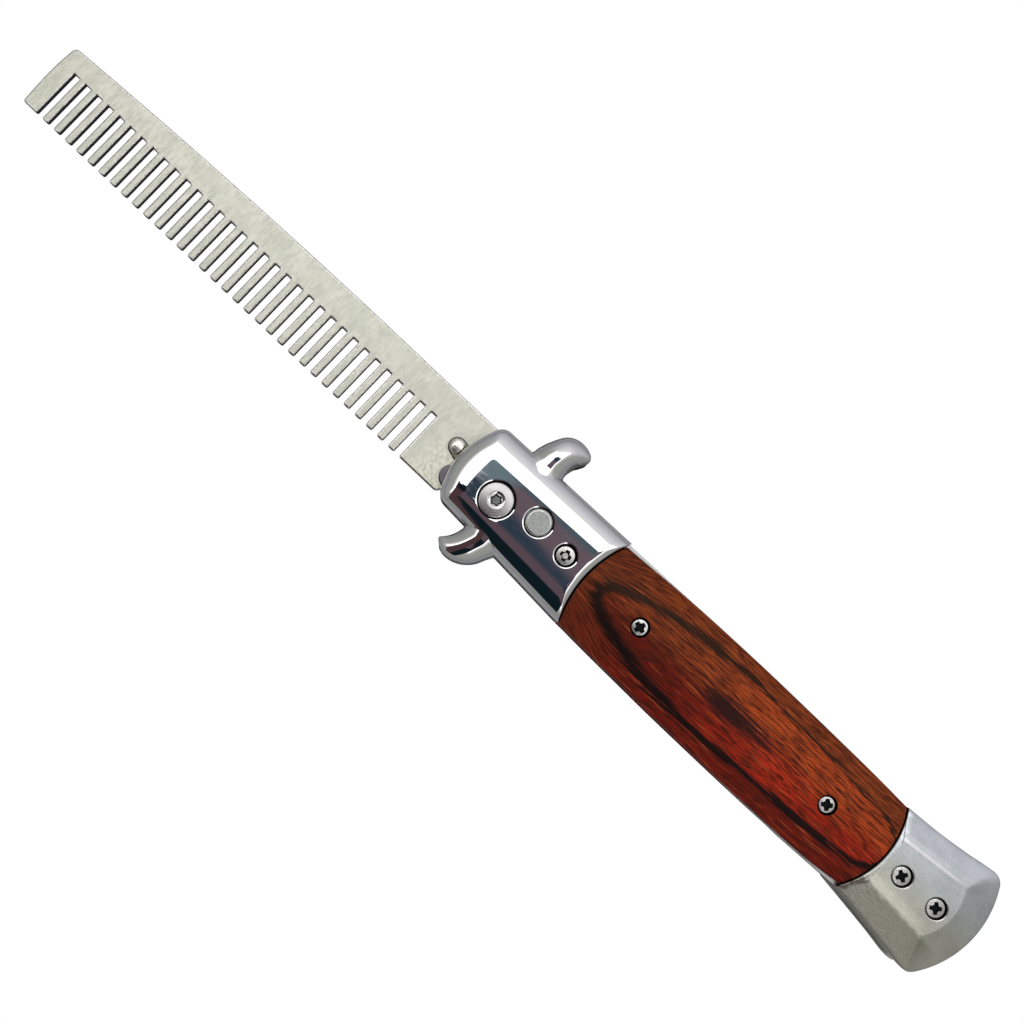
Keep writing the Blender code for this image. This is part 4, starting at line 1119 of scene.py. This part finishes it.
def pivot_screw():
    """A shaft and a dished head, turned from one profile, with a bright ring round a six-lobed recess."""
    low, high = PIVOT_HEAD_Z
    profile = [(PIVOT_SHAFT_RADIUS, -3.5), (PIVOT_SHAFT_RADIUS, low), (PIVOT_HEAD_RADIUS, low),
               *head_profile(high, 1.55), (1.53, high - 0.045), (1.19, high - 0.105)]
    made = add_piece("pivot_screw_fine", turned(profile, PIVOT_SIDES), [TURNED, CHROME])
    share_out(made, np.arange(len(made.data.polygons)) // PIVOT_SIDES == len(profile) - 2)
    recess = ring_solid([ring_at(star_outline() * 0.74, high - LOBE_DRIVE_DEPTH),
                         ring_at(star_outline() * 1.1, high + 0.1)])
    # The recess's floor takes the darker turned finish and its sides near black, both painted shade
    cut(made, [(recess, PIVOT_RECESS_SHADE, PAINTED_SHADE)])
    dress(made, "handle", "pivot_screw")


def pivot_nut():
    """The barrel that the comb turns on, with a plain head in the back bolster."""
    low, high = PIVOT_HEAD_Z
    head = np.array([(PIVOT_HEAD_RADIUS, low), *head_profile(high, 0.3)])[::-1] * (1.0, -1.0)
    profile = [*head, (BARREL_RADIUS, -low), (BARREL_RADIUS, low - 0.15)]
    made = add_piece("pivot_nut_fine", turned(profile, PIVOT_SIDES), [TURNED])
    # The bore is painted shade
    cut(made, [(rod(BARREL_BORE_RADIUS, -3.8, 6.0), PAINTED_SHADE)])
    dress(made, "handle", "pivot_nut")


def push_button():
    """A flanged button, turned from one profile, with a dull face inside a bright rounded edge."""
    low, high = BUTTON_FLANGE_Z
    profile = [(BUTTON_FLANGE_RADIUS, low), (BUTTON_FLANGE_RADIUS, high), (BUTTON_RADIUS, high),
               *rounded_rim(BUTTON_RADIUS, 0.4, BUTTON_TOP_Z - 0.35, 0.35, count=9),
               (BUTTON_RADIUS - 0.5, BUTTON_TOP_Z)]
    made = add_piece("push_button_fine", turned(profile, 64, BUTTON_AT), [NICKEL, BUTTON_FACE])
    made.data.polygons[-1].material_index = 1
    dress(made, "button", "push_button")


def liners():
    """The flat sheet pieces keep their CAD shape, with a finish that reads as rolled steel."""
    for node in ("liner_front", "liner_back", "back_spacer"):
        mesh = frame["nodes"][node].data
        mesh.materials.clear()
        mesh.materials.append(LINER_STEEL)


def studio():
    """White floor and soft light. The dark shape over the comb is what its chrome shows in the photograph."""
    scene = bpy.context.scene
    scene.view_settings.view_transform = "Standard"
    corners = [(-1, -1), (1, -1), (1, 1), (-1, 1)]
    mesh = bpy.data.meshes.new("floor")
    mesh.from_pydata([(FLOOR_REACH * x, FLOOR_REACH * y, FLOOR_Z) for x, y in corners], [], [(0, 1, 2, 3)])
    floor = bpy.data.objects.new("floor", mesh)
    scene.collection.objects.link(floor)
    mesh.materials.append(seen_white("floor_white", 0.36))
    studio_world(scene)


def seen_white(name, grey):
    """Plain white as the camera sees it, and a plain grey surface for the light that the metal mirrors."""
    material = bpy.data.materials.new(name)
    material.use_nodes = True
    f = Graph(material.node_tree)
    f.nodes.clear()
    plain = f.add("BsdfDiffuse", 0, {"Color": (grey, grey, grey * 1.02, 1.0)})
    choice = f.add("MixShader", 0, {0: f.add("LightPath", "Is Camera Ray"), 1: plain, 2: f.add("Emission")})
    f.feed(f.nodes.new("ShaderNodeOutputMaterial"), "Surface", choice)
    return material


def studio_world(scene):
    """Light by direction. u and v are the tangents x / z and y / z of the tilt from straight up.

    A soft room falls off towards the horizon. A bright ceiling light leans to the comb's side, and in front
    of it hangs a dark shape, with bands of navy, plum and dark green, that reaches down to the teeth's side.
    Dull surfaces are lit by a plain even sky of the same strength.
    """
    world = bpy.data.worlds.new("studio")
    scene.world = world
    world.use_nodes = True
    f = Graph(world.node_tree)
    direction = f.add("TexCoord", "Generated")
    x, y, z = (f.axis(direction, name) for name in "XYZ")
    rise = f.math("MAXIMUM", z, 0.02)
    u, v = x / rise, y / rise

    # Room: lilac on the spine's side, olive grey elsewhere
    upper = f.blend(f.ramp(z, 0.15, 0.7, 0.0, 1.0), (0.28, 0.28, 0.30), (0.60, 0.59, 0.62))
    upper = f.blend(f.ramp(z, 0.70, 0.93, 0.0, 1.0), upper, (0.86, 0.85, 0.88))
    lower = f.blend(f.span(z, 0.0, 0.8), (0.24, 0.25, 0.26), (0.36, 0.36, 0.33))
    room = f.blend(f.span(y - abs(x) * 0.45, -0.1, 0.35), lower, upper)

    # Ceiling light with a soft fringe
    light_u = abs(u + 0.10) / 0.435
    light_v = abs(v - 0.01) / 0.47
    light = f.blend(f.fall(f.math("MAXIMUM", light_u, light_v), 0.98, 1.40), room, (0.84, 0.82, 0.79))
    light = f.blend(f.fall(light_u, 0.93, 1.0) * f.fall(light_v, 0.86, 1.0), light, (1.70, 1.70, 1.66))

    # Dark shape
    wobble = f.noise(f.join(u, v), 14.0) - 0.5
    height = v + wobble * 0.010
    lean_v = v - (u + 0.047) * 0.235
    end = f.span(lean_v + wobble * 0.012, 0.0755, 0.0805, -0.42, -0.056)
    dark = f.fall(v, 0.128, 0.132) * f.span(u - end, 0.0, 0.006)
    dark = dark * (f.span(v, -1.8, -1.25) * f.fall(u, 0.25, 0.27))

    # Its bands, each laid over the one before
    navy, plum, pine = (0.030, 0.050, 0.072), (0.150, 0.105, 0.125), (0.005, 0.013, 0.017)
    tone = f.blend(f.span(height + u * 0.09, 0.082, 0.092), navy, plum)
    tone = f.blend(f.span(v, 0.1055, 0.1075), tone, (0.075, 0.11, 0.13))
    corner = f.span(u, -0.014, -0.034) * f.span(height, 0.086, 0.098)
    tone = f.blend(corner, tone, (0.15, 0.21, 0.23))
    tone = f.blend(f.span(height, 0.02, -0.04), tone, (0.115, 0.075, 0.09))
    tone = f.blend(f.span(height, -0.19, -0.26), tone, pine)
    side_tone = f.blend(f.span(height, 0.0, -0.08), (0.004, 0.010, 0.016), (0.080, 0.042, 0.045))
    tone = f.blend(f.span(u, -0.055, -0.085), tone, side_tone)
    colour = f.blend(dark, light, tone)

    for ray in ("Is Diffuse Ray", "Is Camera Ray"):
        colour = f.blend(f.add("LightPath", ray), colour, (1.0, 1.0, 1.0))
    f.feed(f.nodes["Background"], "Color", colour)


def camera():
    """Straight above the handle's near side, with a small shift for the photograph's framing."""
    place = np.array((5.67, -19.76, 235.0))
    aim = np.array((4.91, -12.75, 0.0))
    focal_px, width_px, centre_px = 1289.0, 1024.0, (466.5, 571.7)
    back = (place - aim) / np.linalg.norm(place - aim)
    right = np.array((0.7254, 0.6884, 0.0))
    right = right - back * (right @ back)
    right /= np.linalg.norm(right)
    up = np.cross(back, right)
    data = bpy.data.cameras.new("camera")
    data.sensor_width = 36.0
    data.lens = focal_px / width_px * data.sensor_width
    data.shift_x = 0.5 - centre_px[0] / width_px
    data.shift_y = centre_px[1] / width_px - 0.5
    data.clip_start = 0.01
    made = bpy.data.objects.new("camera", data)
    bpy.context.scene.collection.objects.link(made)
    turn = Matrix([[right[i], up[i], back[i]] for i in range(3)]).to_4x4()
    made.matrix_world = Matrix.Translation(tuple((place + PIVOT) * MM)) @ turn
    bpy.context.scene.camera = made


comb_blade()
stop_pin()
liners()
pivot_screw()
pivot_nut()
push_button()
for face, side in FACES:
    tang_plate(face, side)
    bolster(face, side)
    scale(face, side)
    pommel(face, side)
    for name, turn in SCREWS:
        small_screw(name.format(face), side, turn)
studio()
camera()
